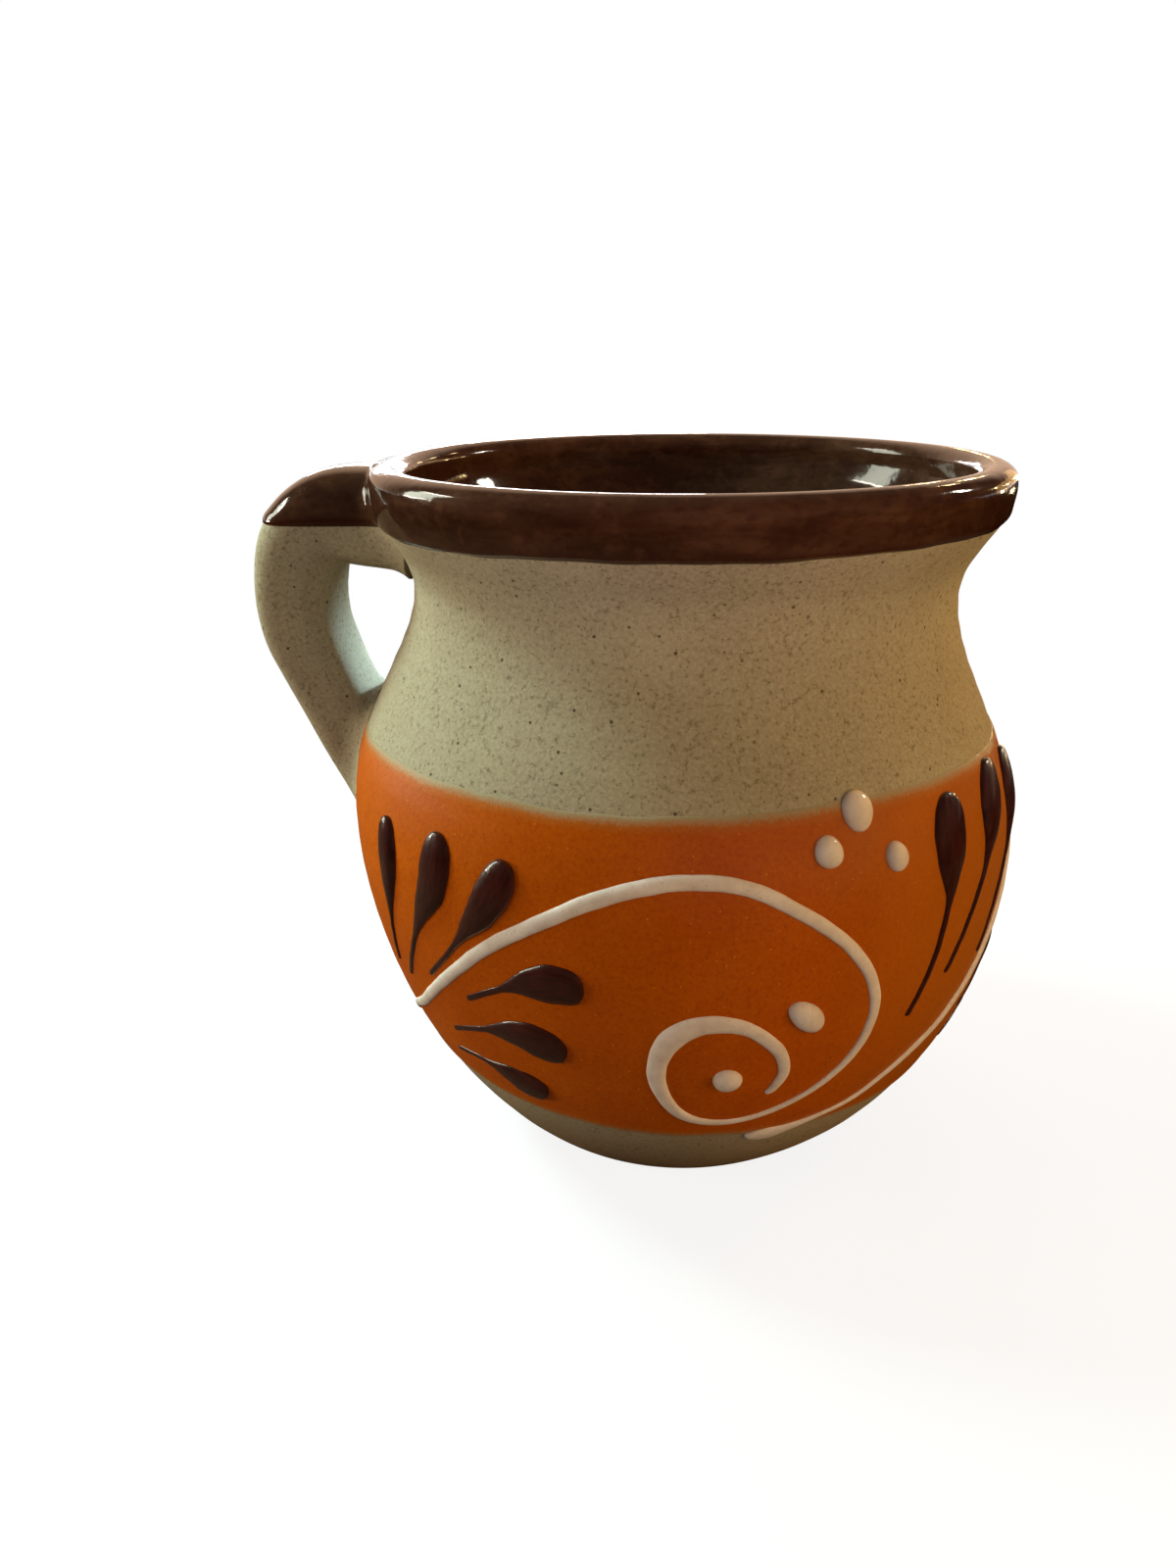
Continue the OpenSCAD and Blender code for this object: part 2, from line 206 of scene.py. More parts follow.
# A motif's places are shares of its pitch round the pot and of the band's height
SCROLL_SHARES = [
    (-0.01, -0.005, 0.3), (0.005, -0.008, 1.1), (0.033, -0.004, 1.5), (0.07, 0.012, 0.9),
    (0.126, 0.038, 0.5), (0.18, 0.068, 0.5), (0.233, 0.124, 0.6), (0.285, 0.185, 0.7),
    (0.351, 0.253, 0.8), (0.417, 0.35, 0.85), (0.493, 0.472, 0.9), (0.574, 0.601, 0.95),
    (0.663, 0.71, 1), (0.751, 0.797, 1.05), (0.85, 0.846, 1), (0.949, 0.832, 0.95),
    (1.037, 0.746, 0.9), (1.103, 0.647, 0.85), (1.148, 0.53, 0.85), (1.162, 0.414, 0.8),
    (1.142, 0.29, 0.7), (1.089, 0.184, 0.55), (1.014, 0.108, 0.5), (0.938, 0.078, 0.6),
    (0.873, 0.11, 0.85), (0.837, 0.204, 1.05), (0.83, 0.314, 1.3), (0.856, 0.415, 1.65),
    (0.905, 0.455, 1.4), (0.96, 0.436, 1.05), (1.008, 0.361, 0.9), (1.026, 0.28, 0.8),
    (1.014, 0.215, 0.65), (1.002, 0.198, 0.35),
]
PETAL_SHARES = [
    [(0.3, 0.362), (0.32, 0.48), (0.34, 0.6), (0.35, 0.727), (0.342, 0.85)],
    [(0.342, 0.347), (0.387, 0.472), (0.43, 0.602), (0.469, 0.733), (0.479, 0.875)],
    [(0.426, 0.416), (0.481, 0.515), (0.531, 0.622), (0.577, 0.731), (0.609, 0.851)],
    [(0.511, 0.394), (0.562, 0.45), (0.613, 0.5), (0.669, 0.532), (0.726, 0.535)],
    [(0.443, 0.231), (0.502, 0.279), (0.563, 0.317), (0.627, 0.329), (0.687, 0.293)],
    [(0.42, 0.135), (0.48, 0.151), (0.534, 0.149), (0.583, 0.13), (0.632, 0.107)],
]
# The second fan's upper petals reach higher
HIGH_PETAL_SHARES = [
    [(0.237, 0.36), (0.27, 0.508), (0.289, 0.662), (0.296, 0.818), (0.312, 0.964)],
    [(0.312, 0.452), (0.356, 0.584), (0.396, 0.719), (0.433, 0.852), (0.471, 0.98)],
    [(0.427, 0.431), (0.475, 0.575), (0.52, 0.7), (0.565, 0.83), (0.6, 0.95)],
]
HIGH_FAN = 2
PETAL_WIDTHS = (0.7, 0.91, 0.87, 1, 1, 0.93)
HIGH_PETAL_WIDTHS = (1.08, 1.04, 1)
PETAL_RELIEFS = (1, 1, 1, 0.78, 0.78, 0.78)
# Along a petal: where it starts to swell, its widest place, and what its thin tail keeps
PETAL_SWELL = 0.33
HIGH_PETAL_SWELL = 0.5
PETAL_WIDEST = 0.8
PETAL_TAIL = 0.16
PETAL_TAIL_RELIEF = 0.55
PETAL_RELIEF_RUN = (0, 0.7)
PETAL_HEAD_SHARE = 0.998
# The dots: place, long and short share of a dot's width, lean in degrees
DOT_SHARES = [
    ((1.124, 0.981), (1.2, 1.02), 104),
    ((1.07, 0.898), (1, 0.84), 116),
    ((1.182, 0.856), (0.92, 0.78), 102),
    ((1.047, 0.457), (1.42, 0.88), -44),
    ((0.938, 0.26), (0.92, 0.9), 0),
]

# Colours as a screen shows them, from 0 to 255
CLAY_DARK = (152, 135, 109)
CLAY_PALE = (165, 149, 122)
CLAY_SAND = (194, 181, 152)
CLAY_DUST = (96, 78, 56)
# Painted shade, mixed in darker towards the foot
CLAY_FOOT_SHADE = (110, 72, 38)
CLAY_SPOT = (92, 68, 48)
CLAY_FLECK = (58, 38, 25)
CLAY_SCUFF = (214, 203, 178)
GLAZE_DARK = (48, 25, 15)
GLAZE_MEAN = (62, 36, 23)
GLAZE_PALE = (82, 52, 35)
GLAZE_MOTTLE = (92, 58, 39)
GLAZE_POOL = (40, 16, 10)
GLAZE_RIM = (54, 21, 11)
ORANGE_DARK = (172, 74, 2)
ORANGE_PALE = (185, 84, 3)
ORANGE_SHADE = (144, 55, 1)
ORANGE_LIGHT = (200, 108, 12)
ORANGE_SPOT = (230, 148, 52)
ORANGE_FLECK = (92, 34, 6)
# Painted warm light on the band's +X side
ORANGE_LIT_SIDE = (160, 90, 12)
ORANGE_THIN = (172, 104, 40)
ORANGE_WORN = (158, 140, 108)
WHITE_DARK = (212, 190, 176)
WHITE_PALE = (230, 211, 200)
WHITE_GRAIN = (172, 135, 112)
DARK_DEEP = (42, 12, 8)
DARK_PALE = (68, 25, 18)
DARK_PATCH = (34, 11, 7)
# The painted shade on the foot fades out at this height, and the band's painted warm light makes
# it yellowest at this X
FOOT_SHADE_Z = 22 * MM
ORANGE_LIT_SIDE_X = 46 * MM
SPOT_CORE = 0.55
SPOT_BLEND = 0.04

# The camera, with its turns in degrees
CAMERA_PLACE = (0, -0.1637, 0.1114)
CAMERA_YAW = -4.65
CAMERA_PITCH = 20.78
CAMERA_ROLL = -0.56
CAMERA_LENS = 27.05
CAMERA_SENSOR = 36
CAMERA_CLIP = (0.005, 50)

# A lamp's place is seen from the middle of the lip: a turn from +Y towards +X and a rise, in
# degrees, and a distance. It faces the middle of the mug.
LIP_MIDDLE_Z = 0.09
MUG_MIDDLE_Z = 0.065
# Lamps that light the mug but don't show in its gloss: name, place, size, watts, colour
LIGHTS = [
    ("window_high", (-75, 40, 0.6), (0.17, 0.17), 4.5, (0.68, 1.0, 0.95)),
    ("window_low", (-97, 2, 0.6), (0.3, 0.15), 2.4, (1.0, 0.93, 0.72)),
    ("window_behind", (-50, 12, 0.6), (0.2, 0.3), 1.5, (0.58, 0.92, 1.0)),
    ("back_left", (-30, 20, 0.6), (0.3, 0.4), 0.3, (0.9, 1.0, 1.0)),
    ("back_top", (5, 45, 0.6), (0.4, 0.4), 1.3, (1.0, 0.98, 0.96)),
    ("warm_side", (118, 8, 0.6), (0.34, 0.32), 1.85, (1.0, 0.66, 0.22)),
    ("warm_back", (60, 30, 0.6), (0.3, 0.4), 1.2, (1.0, 0.55, 0.1)),
    ("front_fill", (165, 4, 0.6), (0.5, 0.2), 0.78, (0.9, 0.84, 0.78)),
]
# Lamps that the gloss mirrors and that light nothing
MIRRORED = [
    ("window", (-80, 15, 0.6), (0.17, 0.28), 1.3, (0.95, 1.0, 0.82)),
    ("horizon", (-13, 9, 0.85), (0.42, 0.05), 1.6, (1.0, 0.94, 0.95)),
    ("warm_glow", (42, 5, 0.62), (0.36, 0.16), 0.2, (1.0, 0.55, 0.2)),
]
# Small mirrored glints: turn, rise, width, height, watts
GLINTS = [
    (-80, 30, 0.17, 0.016, 0.4), (-80, 1, 0.17, 0.014, 0.3), (27, -3, 0.018, 0.018, 0.05),
    (33, 2, 0.02, 0.02, 0.07), (39, -5, 0.018, 0.018, 0.05), (46, 4, 0.022, 0.022, 0.09),
    (52, -2, 0.018, 0.018, 0.05), (58, 8, 0.02, 0.02, 0.06), (15, 12, 0.016, 0.016, 0.04),
    (24, 20, 0.02, 0.02, 0.06), (33, 31, 0.018, 0.018, 0.05), (67, 27, 0.045, 0.08, 0.6),
]
GLINT_AWAY = 0.6
WIDE_GLINT = 0.04
WIDE_GLINT_COLOUR = (1.0, 0.95, 0.8)
GLINT_COLOUR = (1.0, 0.75, 0.36)
# Narrow beams: name, place, target, watts, colour, cone in degrees
BEAMS = [
    ("neck_light", (0.05, -0.6, 0.11), (0, 0, 0.119), 3, (1.0, 0.8, 0.85), 9.5),
    ("loop_light", (0.108, 0.356, 0.219), (-0.05, 0, 0.062), 52, (0.44, 0.74, 1.0), 3.0),
    ("inside_light", (0, 0, 0.6), (0, 0, 0), 20, (1.0, 0.97, 0.93), 7.2),
]
BEAM_BLEND = 0.7
BEAM_SOFTNESS = 0.01

# What the gloss mirrors of the room: the way to its bright wall, and how it shades from the
# room to the wall and to white low down
WALL_WAY = (-0.2, 0.98, 0)
WALL_RANGE = (0.6, 0.88)
WALL_WHITE_RANGE = (0.955, 0.992)
WALL_WHITE_Z = (0.24, 0.14)
ROOM_COLOUR = (0.045, 0.035, 0.03, 1)
WALL_COLOUR = (0.95, 0.62, 0.42, 1)
WHITE = (1, 1, 1, 1)
SOFT_COLOUR = (1.0, 0.96, 0.88, 1)
SOFT_STRENGTH = 0.06

# The floor, a little below the foot, shades into the white behind
FLOOR_HALF = 6.0
FLOOR_DROP = 0.0001
FLOOR_NEAR_LEVEL = 0.86
FLOOR_AWAY = (0.1, 0.3)
FLOOR_BEHIND_Y = (0.8, 2.5)
FLOOR_GLOSS_COLOUR = (0.07, 0.045, 0.03, 1)
FLOOR_COLOUR = (0.16, 0.155, 0.15, 1)


# Curves


def smooth(t):
    t = np.clip(t, 0, 1)
    return t * t * (3 - 2 * t)


def rise(value, low, high):
    """0 below low, 1 above high, and smooth between."""
    return smooth((value - low) / (high - low))


def unit(vectors):
    return vectors / np.maximum(np.linalg.norm(vectors, axis=-1), 1e-12)[..., None]


def waves(along, table, phase=1.0):
    """The sum of a table's waves along a turn or a length."""
    return sum(high * np.sin(count * along + share * phase) for high, count, share in table)


def bend(a, b, c, d, count):
    """A cubic run from a to d without its last point."""
    t = (np.arange(count) / count)[:, None]
    s = 1 - t
    a, b, c, d = (np.array(p, float) for p in (a, b, c, d))
    return s**3 * a + 3 * s * s * t * b + 3 * s * t * t * c + t**3 * d


def through(places, t):
    """A smooth curve through places, where t runs from 0 to 1."""
    p = np.array(places, float)
    last = len(p) - 1
    i = np.minimum(np.floor(t * last).astype(int), last - 1)
    u = (t * last - i)[:, None]
    a = p[np.maximum(i - 1, 0)]
    b = p[i]
    c = p[i + 1]
    d = p[np.minimum(i + 2, last)]
    return b + u / 2 * ((c - a) + u * ((2 * a - 5 * b + 4 * c - d) + u * (3 * b - a - 3 * c + d)))


def dome(across, shape):
    """The share of a ridge's relief at a share of its half width."""
    squareness, fullness = shape
    return np.maximum(1 - np.abs(across) ** squareness, 0) ** fullness


# The pot's form


def shoulder_run(belly_r, neck_r):
    """The places that bend the wall from the belly up to the neck."""
    height = NECK_Z - BELLY_Z
    return [
        (belly_r, BELLY_Z),
        (belly_r, BELLY_Z + SHOULDER_BEND[0] * height),
        (neck_r, BELLY_Z + SHOULDER_BEND[1] * height),
        (neck_r, NECK_Z),
    ]


def throat_run(neck_r, lip_r):
    """The places that bend the wall from the neck out to the lip."""
    height = LIP_Z - NECK_Z
    flare = lip_r - neck_r
    return [
        (neck_r, NECK_Z),
        (neck_r, NECK_Z + THROAT_LOW_BEND * height),
        (neck_r + THROAT_HIGH_BEND[0] * flare, NECK_Z + THROAT_HIGH_BEND[1] * height),
        (lip_r, LIP_Z),
    ]


BELLY_IN = BELLY_R - WALL
NECK_IN = NECK_R - WALL
LIP_IN = LIP_R - LIP_T

OUTER = np.vstack([
    bend(
        (FOOT_R, 0),
        (FOOT_R + FOOT_BEND[0] * (BELLY_R - FOOT_R), FOOT_BEND[1] * BELLY_Z),
        (BELLY_R, BELLY_LOW_BEND * BELLY_Z),
        (BELLY_R, BELLY_Z),
        LOW_POINTS,
    ),
    bend(*shoulder_run(BELLY_R, NECK_R), SHOULDER_POINTS),
    bend(*throat_run(NECK_R, LIP_R), THROAT_POINTS),
    [(LIP_R, LIP_Z)],
])
LIP = np.array([
    (LIP_R - LIP_T / 2 + LIP_T / 2 * math.cos(a), LIP_Z + CROWN_H * math.sin(a))
    for a in np.radians(np.arange(LIP_STEP_DEGREES, 180, LIP_STEP_DEGREES))
])
INNER = np.vstack([
    bend(*throat_run(NECK_IN, LIP_IN)[::-1], THROAT_POINTS),
    bend(*shoulder_run(BELLY_IN, NECK_IN)[::-1], INSIDE_SHOULDER_POINTS),
    bend(
        (BELLY_IN, BELLY_Z),
        (BELLY_IN, INSIDE_LOW_BEND * BELLY_Z),
        (INSIDE_FLOOR_BEND * BELLY_IN, FLOOR_Z),
        (INSIDE_FLAT * BELLY_IN, FLOOR_Z),
        INSIDE_LOW_POINTS,
    ),
    [
        (k / INSIDE_FLAT_POINTS * INSIDE_FLAT * BELLY_IN, FLOOR_Z)
        for k in range(INSIDE_FLAT_POINTS, 0, -1)
    ],
])
LEAN_Z, LEAN_X = np.transpose(LEANS) * MM


def wall_r(z):
    return np.interp(z, OUTER[:, 1], OUTER[:, 0])


def wall_slope(z):
    return (wall_r(z + SLOPE_STEP) - wall_r(z - SLOPE_STEP)) / (2 * SLOPE_STEP)


def wobble(turn, z):
    """How far the thrown wall stands off its true round, at a turn and a height."""
    lean = np.interp(z, LEAN_Z, LEAN_X) * np.cos(turn)
    oval = OVAL * np.sin(2 * turn + OVAL_PHASE + OVAL_TWIST * z)
    drift = DRIFT * np.sin(3 * turn + DRIFT_PHASE + DRIFT_TWIST * z)
    sway = RING_SWAY * np.sin(RING_SWAY_TWIST * z)
    spiral = np.sin(2 * math.pi * z / RING_PITCH + turn + sway)
    rings = (RING_LOW + (RING_HIGH - RING_LOW) * rise(z, *RING_HIGH_Z)) * spiral
    away = (turn % (2 * math.pi)) - math.pi
    beside_strap = np.exp(-((away / PRESS_SPREAD) ** 2))
    lip_press = LIP_PRESS * rise(z, *LIP_PRESS_Z)
    neck_press = NECK_PRESS * rise(z, *NECK_PRESS_Z) * (1 - rise(z, *NECK_PRESS_END_Z))
    thrown = (oval + drift + rings) * rise(z, *TRUE_FOOT_Z)
    return lean + thrown - (lip_press + neck_press) * beside_strap


def on_wall(turn, z, lift):
    """The point over a turn (radians) and a height, lifted square off the wall."""
    slope = wall_slope(z)
    out = lift / np.sqrt(1 + slope * slope)
    r = wall_r(z) + wobble(turn, z) + out
    return np.stack([r * np.cos(turn), r * np.sin(turn), z - out * slope], axis=-1)


def dip_z(turn, x):
    """The height of the glaze's edge, a little tilted and wavy as a dip leaves it."""
    return DIP_Z + DIP_TILT * x + waves(turn, DIP_WAVES) * MM


# Meshes


def build(name, verts, faces, node, material, values=None):
    """A smooth piece that stands for a CAD node, rides on the mug and has its finish."""
    verts = np.asarray(verts, float)
    corners = [(f[0], f[k], f[k + 1]) for f in faces for k in range(1, len(f) - 1)]
    tri = verts[np.array(corners)]
    volume = np.einsum("ij,ij->i", tri[:, 0], np.cross(tri[:, 1], tri[:, 2])).sum()
    if volume < 0:
        faces = [tuple(reversed(f)) for f in faces]
    mesh = bpy.data.meshes.new(name)
    mesh.from_pydata(verts.tolist(), [], faces)
    for key, data in (values or {}).items():
        mesh.attributes.new(key, "FLOAT", "POINT").data.foreach_set(
            "value", np.asarray(data, np.float32)
        )
    mesh.polygons.foreach_set("use_smooth", [True] * len(mesh.polygons))
    mesh.materials.append(material)
    mesh.update()
    piece = bpy.data.objects.new(name, mesh)
    bpy.context.scene.collection.objects.link(piece)
    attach(piece, "root")
    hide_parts(node)


def skin(rings, start=None, end=None, loop=False):
    """Vertices and faces of a skin over rings of points, closed by a point at either end."""
    rings = np.asarray(rings, float)
    rows, n = rings.shape[:2]
    verts = list(rings.reshape(-1, 3))
    faces = []
    for i in range(rows if loop else rows - 1):
        low = i * n
        high = ((i + 1) % rows) * n
        for j in range(n):
            k = (j + 1) % n
            faces.append((low + j, low + k, high + k, high + j))
    if start is not None:
        verts.append(np.array(start, float))
        faces += [(len(verts) - 1, (j + 1) % n, j) for j in range(n)]
    if end is not None:
        verts.append(np.array(end, float))
        last = (rows - 1) * n
        faces += [(len(verts) - 1, last + j, last + (j + 1) % n) for j in range(n)]
    return verts, faces


def ring_turns():
    return 2 * math.pi * np.arange(TURNS) / TURNS


def lathe_ring(r, z, lift=0.0, normal=(0.0, 0.0)):
    """One ring of the pot, lifted along a profile normal, with the wall's wobble."""
    turn = ring_turns()
    radius = r + wobble(turn, z) * rise(r, 0, CALM_R) + lift * normal[0]
    height = np.full(TURNS, z + lift * normal[1])
    if abs(z - FLOOR_Z) < SPIRAL_H:
        spiral = SPIRAL * np.sin(2 * math.pi * r / SPIRAL_PITCH + turn)
        height = height + spiral * rise(-r, -SPIRAL_R, 0)
    return np.stack([radius * np.cos(turn), radius * np.sin(turn), height], axis=-1)


def profile_normals(run):
    along = np.gradient(run, axis=0)
    return unit(np.stack([along[:, 1], -along[:, 0]], axis=1))


def make_pot(material):
    inside = np.array([FOOT_R - FOOT_BEVEL_INWARD * FOOT_BEVEL, 0])
    corner = np.array([FOOT_R, 0])
    first = int(np.argmax(OUTER[:, 1] > FOOT_BEVEL))
    t = np.linspace(0, 1, FOOT_POINTS)[:, None]
    foot = (1 - t) ** 2 * inside + 2 * t * (1 - t) * corner + t * t * OUTER[first]
    under = np.array([(share * inside[0], 0) for share in UNDERSIDE_SHARES])
    run = np.vstack([under, foot, OUTER[first + 1:], LIP, INNER])
    rings = [lathe_ring(r, z) for r, z in run]
    verts, faces = skin(rings, start=(0, 0, 0), end=(0, 0, FLOOR_Z))
    build("clay_pot", verts, faces, "pot_body", material)


def coat_lift(height, thickness, edge, bead):
    """A coat's thickness at a height over its edge, round at the edge with a slight bead."""
    t = np.clip(height / edge, 0, 1)
    swell = bead * np.exp(-(((height - edge) / (BEAD_SPREAD * edge)) ** 2))
    return thickness * np.sqrt(np.maximum(1 - (1 - t) ** 2, 0)) * (1 + swell)


def make_rim_glaze(material):
    turn = ring_turns()
    edge = dip_z(turn, wall_r(DIP_Z) * np.cos(turn))
    top = edge + GLAZE_ROWS[-1] * MM
    rows = [
        (edge + h * MM, coat_lift(h * MM, GLAZE_T, GLAZE_EDGE, GLAZE_BEAD), h)
        for h in GLAZE_ROWS
    ]
    rows += [(top + share * (LIP_Z - top), GLAZE_T, GLAZE_FAR_MM) for share in (0.5, 1.0)]
    outer = [on_wall(turn, z, lift) for z, lift, away in rows]
    hidden = [on_wall(turn, z, -UNDER) for z, lift, away in rows]
    far = [np.full(TURNS, away) for z, lift, away in rows]
    rest = np.vstack([LIP, INNER])
    for (r, z), normal in zip(rest, profile_normals(rest)):
        outer.append(lathe_ring(r, z, GLAZE_T, normal))
        hidden.append(lathe_ring(r, z, -UNDER, normal))
        far.append(np.full(TURNS, GLAZE_FAR_MM))
    rings = hidden[::-1] + outer
    verts, faces = skin(rings, start=(0, 0, FLOOR_Z - UNDER), end=(0, 0, FLOOR_Z + GLAZE_T))
    ends = [GLAZE_FAR_MM, GLAZE_FAR_MM]
    build(
        "rim_glaze", verts, faces, "rim_and_lining_glaze", material,
        {"edge_mm": np.concatenate(far[::-1] + far + [ends])},
    )


def make_band(material):
    turn = ring_turns()
    low = BAND_LOW_Z + waves(turn, BAND_WAVES, BAND_LOW_PHASE) * MM
    high = BAND_HIGH_Z + waves(turn, BAND_WAVES, BAND_HIGH_PHASE) * MM
    first = low + BAND_ROWS[-1] * MM
    last = high - BAND_ROWS[-1] * MM
    shares = np.linspace(0, 1, BAND_INSIDE_ROWS + 2)[1:-1]
    rows = [(low + h * MM, h) for h in BAND_ROWS]
    rows += [(first + share * (last - first), BAND_FAR_MM) for share in shares]
    rows += [(high - h * MM, h) for h in BAND_ROWS[::-1]]
    outer = [on_wall(turn, z, coat_lift(h * MM, BAND_T, BAND_EDGE, BAND_BEAD)) for z, h in rows]
    hidden = [on_wall(turn, z, -UNDER) for z, h in rows]
    far = [np.full(TURNS, h) for z, h in rows]
    verts, faces = skin(outer + hidden[::-1], loop=True)
    build(
        "orange_band", verts, faces, "slip_band", material,
        {"edge_mm": np.concatenate(far + far[::-1])},
    )


# The handle


def strap_rings():
    """Rings of the strap before it meets the pot, softer in section at the top."""
    places = []
    for away, up, thick in STRAP_SHARES:
        z = HANDLE_LOW_Z + up * (HANDLE_HIGH_Z - HANDLE_LOW_Z)
        places.append((wall_r(z) + away * HANDLE_REACH, z, thick * STRAP_T))
    t = np.linspace(0, 1, STRAP_STATIONS + 1)
    middle = through(places, t)
    out = profile_normals(middle[:, :2])
    half_t = middle[:, 2] / 2 - STRAP_INSET_T
    half_w = (STRAP_TOP_W + (STRAP_LOW_W - STRAP_TOP_W) * t) / 2 - STRAP_INSET_W
    half_w = half_w + waves(t, STRAP_WAVES) * MM
    a = 2 * math.pi * np.arange(STRAP_SIDES) / STRAP_SIDES
    squarer = (STRAP_SQUARE_LOW - STRAP_SQUARE_TOP) * rise(t, *STRAP_SQUARE_RUN)
    square = (STRAP_SQUARE_TOP + squarer)[:, None]
    reach = (np.abs(np.cos(a)) ** square + np.abs(np.sin(a)) ** square) ** (-1 / square)
    u = reach * np.cos(a) * half_t[:, None]
    v = reach * np.sin(a) * half_w[:, None]
    x = -(middle[:, 0][:, None] - u * out[:, 0][:, None])
    z = middle[:, 1][:, None] - u * out[:, 1][:, None]
    return np.stack([x, -v, z], axis=-1)


def ring_normals(rings):
    along = np.gradient(rings, axis=0)
    around = np.roll(rings, -1, axis=1) - np.roll(rings, 1, axis=1)
    normal = unit(np.cross(around, along))
    centre = rings.mean(axis=1)[:, None, :]
    return normal * np.sign(np.sum((rings - centre) * normal))


def outside_r(z):
    """The pot's outer radius at a height, over the lip's crown too."""
    over = np.clip((z - LIP_Z) / CROWN_H, 0, 1)
    crown = LIP_R - LIP_T / 2 * (1 - np.sqrt(1 - over**2))
    return np.where(z > LIP_Z, crown, wall_r(z))


def fitted_strap():
    """The strap with its ends hidden in the wall and worked onto it by a fillet."""
    rings = strap_rings()
    normal = ring_normals(rings)
    x, y, z = rings[..., 0], rings[..., 1], rings[..., 2]
    turn = np.arctan2(y, x)
    slope = wall_slope(np.minimum(z, LIP_Z))
    radial = np.hypot(x, y) - outside_r(z) - wobble(turn, z)
    distance = radial / np.sqrt(1 + slope * slope)
    wall_normal = unit(np.stack([np.cos(turn), np.sin(turn), -slope], axis=-1))
    along_wall = normal - np.sum(normal * wall_normal, axis=-1)[..., None] * wall_normal
    upward = np.clip(along_wall[..., 2], 0, 1) * rise(z, *FILLET_TOP_Z)
    radius = FILLET_R + (FILLET_TOP_R - FILLET_R) * upward
    near = 1 - np.clip(distance / radius, 0, 1)
    push = radius * (1 - np.sqrt(np.maximum(1 - near**2, 0)))
    rings = rings + along_wall * push[..., None]
    x, y, z = rings[..., 0], rings[..., 1], rings[..., 2]
    z = np.minimum(z, CREST_Z - CREST_DROP * rise(-x, *CREST_DROP_X))
    turn = np.arctan2(y, x)
    least = outside_r(z) + wobble(turn, z) - ROOT_DEPTH
    r = np.maximum(np.hypot(x, y), least)
    return np.stack([r * np.cos(turn), r * np.sin(turn), z], axis=-1)


def make_handle(rings, material):
    verts, faces = skin(rings, start=rings[0].mean(axis=0), end=rings[-1].mean(axis=0))
    build("strap_handle", verts, faces, "handle", material)


def cut_over_dip(rings, normals):
    """The skin over the dip line, cut along each row: heights over it, normals and faces."""
    verts, faces = skin(rings, start=rings[0].mean(axis=0))
    lowered = np.array(verts)
    turn = np.arctan2(lowered[:, 1], lowered[:, 0])
    lowered[:, 2] -= dip_z(turn, lowered[:, 0])
    mesh = bpy.data.meshes.new("coat")
    mesh.from_pydata(lowered.tolist(), [], faces)
    directions = np.vstack([normals.reshape(-1, 3), -normals[0].mean(axis=0)[None, :]])
    axes = ("nx", "ny", "nz")
    for axis, key in enumerate(axes):
        mesh.attributes.new(key, "FLOAT", "POINT").data.foreach_set(
            "value", directions[:, axis].astype(np.float32)
        )
    work = bmesh.new()
    work.from_mesh(mesh)
    for level in STRAP_COAT_ROWS:
        bmesh.ops.bisect_plane(
            work,
            geom=work.verts[:] + work.edges[:] + work.faces[:],
            dist=STRAP_COAT_CUT,
            plane_co=(0, 0, level * MM),
            plane_no=(0, 0, 1),
            clear_inner=level == 0,
        )
    bmesh.ops.triangulate(work, faces=[f for f in work.faces if len(f.verts) > 4])
    work.verts.ensure_lookup_table()
    layers = [work.verts.layers.float[key] for key in axes]
    cut = np.array([v.co for v in work.verts])
    out = unit(np.array([[v[layer] for layer in layers] for v in work.verts]))
    loops = [tuple(v.index for v in f.verts) for f in work.faces]
    work.free()
    bpy.data.meshes.remove(mesh)
    return cut, out, loops


def open_edges(loops):
    """The edges that only one face has, in that face's order."""
    edges = {(f[k], f[(k + 1) % len(f)]): True for f in loops for k in range(len(f))}
    return [(a, b) for a, b in edges if (b, a) not in edges]


def make_handle_glaze(rings, material):
    """The part of the strap's skin over the dip line, thickened into a closed coat."""
    keep = int(GLAZED_STRAP_SHARE * len(rings))
    base, out, loops = cut_over_dip(rings[:keep], ring_normals(rings)[:keep])
    height = base[:, 2].copy()
    turn = np.arctan2(base[:, 1], base[:, 0])
    base[:, 2] += dip_z(turn, base[:, 0])
    outer = base + out * coat_lift(height, GLAZE_T, GLAZE_EDGE, GLAZE_BEAD)[:, None]
    inner = base - out * UNDER
    count = len(base)
    faces = loops + [tuple(i + count for i in reversed(f)) for f in loops]
    faces += [(b, a, a + count, b + count) for a, b in open_edges(loops)]
    build(
        "handle_top_glaze", np.vstack([outer, inner]), faces, "handle_glaze",
        material, {"edge_mm": np.tile(height / MM, 2)},
    )


# Trailed slip


def rise_length(z):
    """The length along the wall of a unit of height."""
    slope = wall_slope(z)
    return np.sqrt(1 + slope * slope)


def motif_place(m, places):
    """Turn (radians) and height of a motif's places."""
    places = np.asarray(places, float)
    turn = MOTIF_LEAD - 180 + (m - 1 + places[..., 0]) * MOTIF_PITCH
    height = BAND_LOW_Z + places[..., 1] * (BAND_HIGH_Z - BAND_LOW_Z)
    return np.stack([np.radians(turn), height], axis=-1)


def beside(place, angle, distance):
    """The place on the wall at an angle and a distance from another one."""
    return np.stack([
        place[..., 0] + distance * np.cos(angle) / wall_r(place[..., 1]),
        place[..., 1] + distance * np.sin(angle) / rise_length(place[..., 1]),
    ], axis=-1)


def end_rounding(left, width):
    """A line's share of its full width near an end, so that the end is round."""
    half = np.maximum(width / 2, LEAST_HALF_W)
    return np.sqrt(np.clip(1 - (1 - np.clip(left / half, 0, 1)) ** 2, LEAST_END**2, 1))


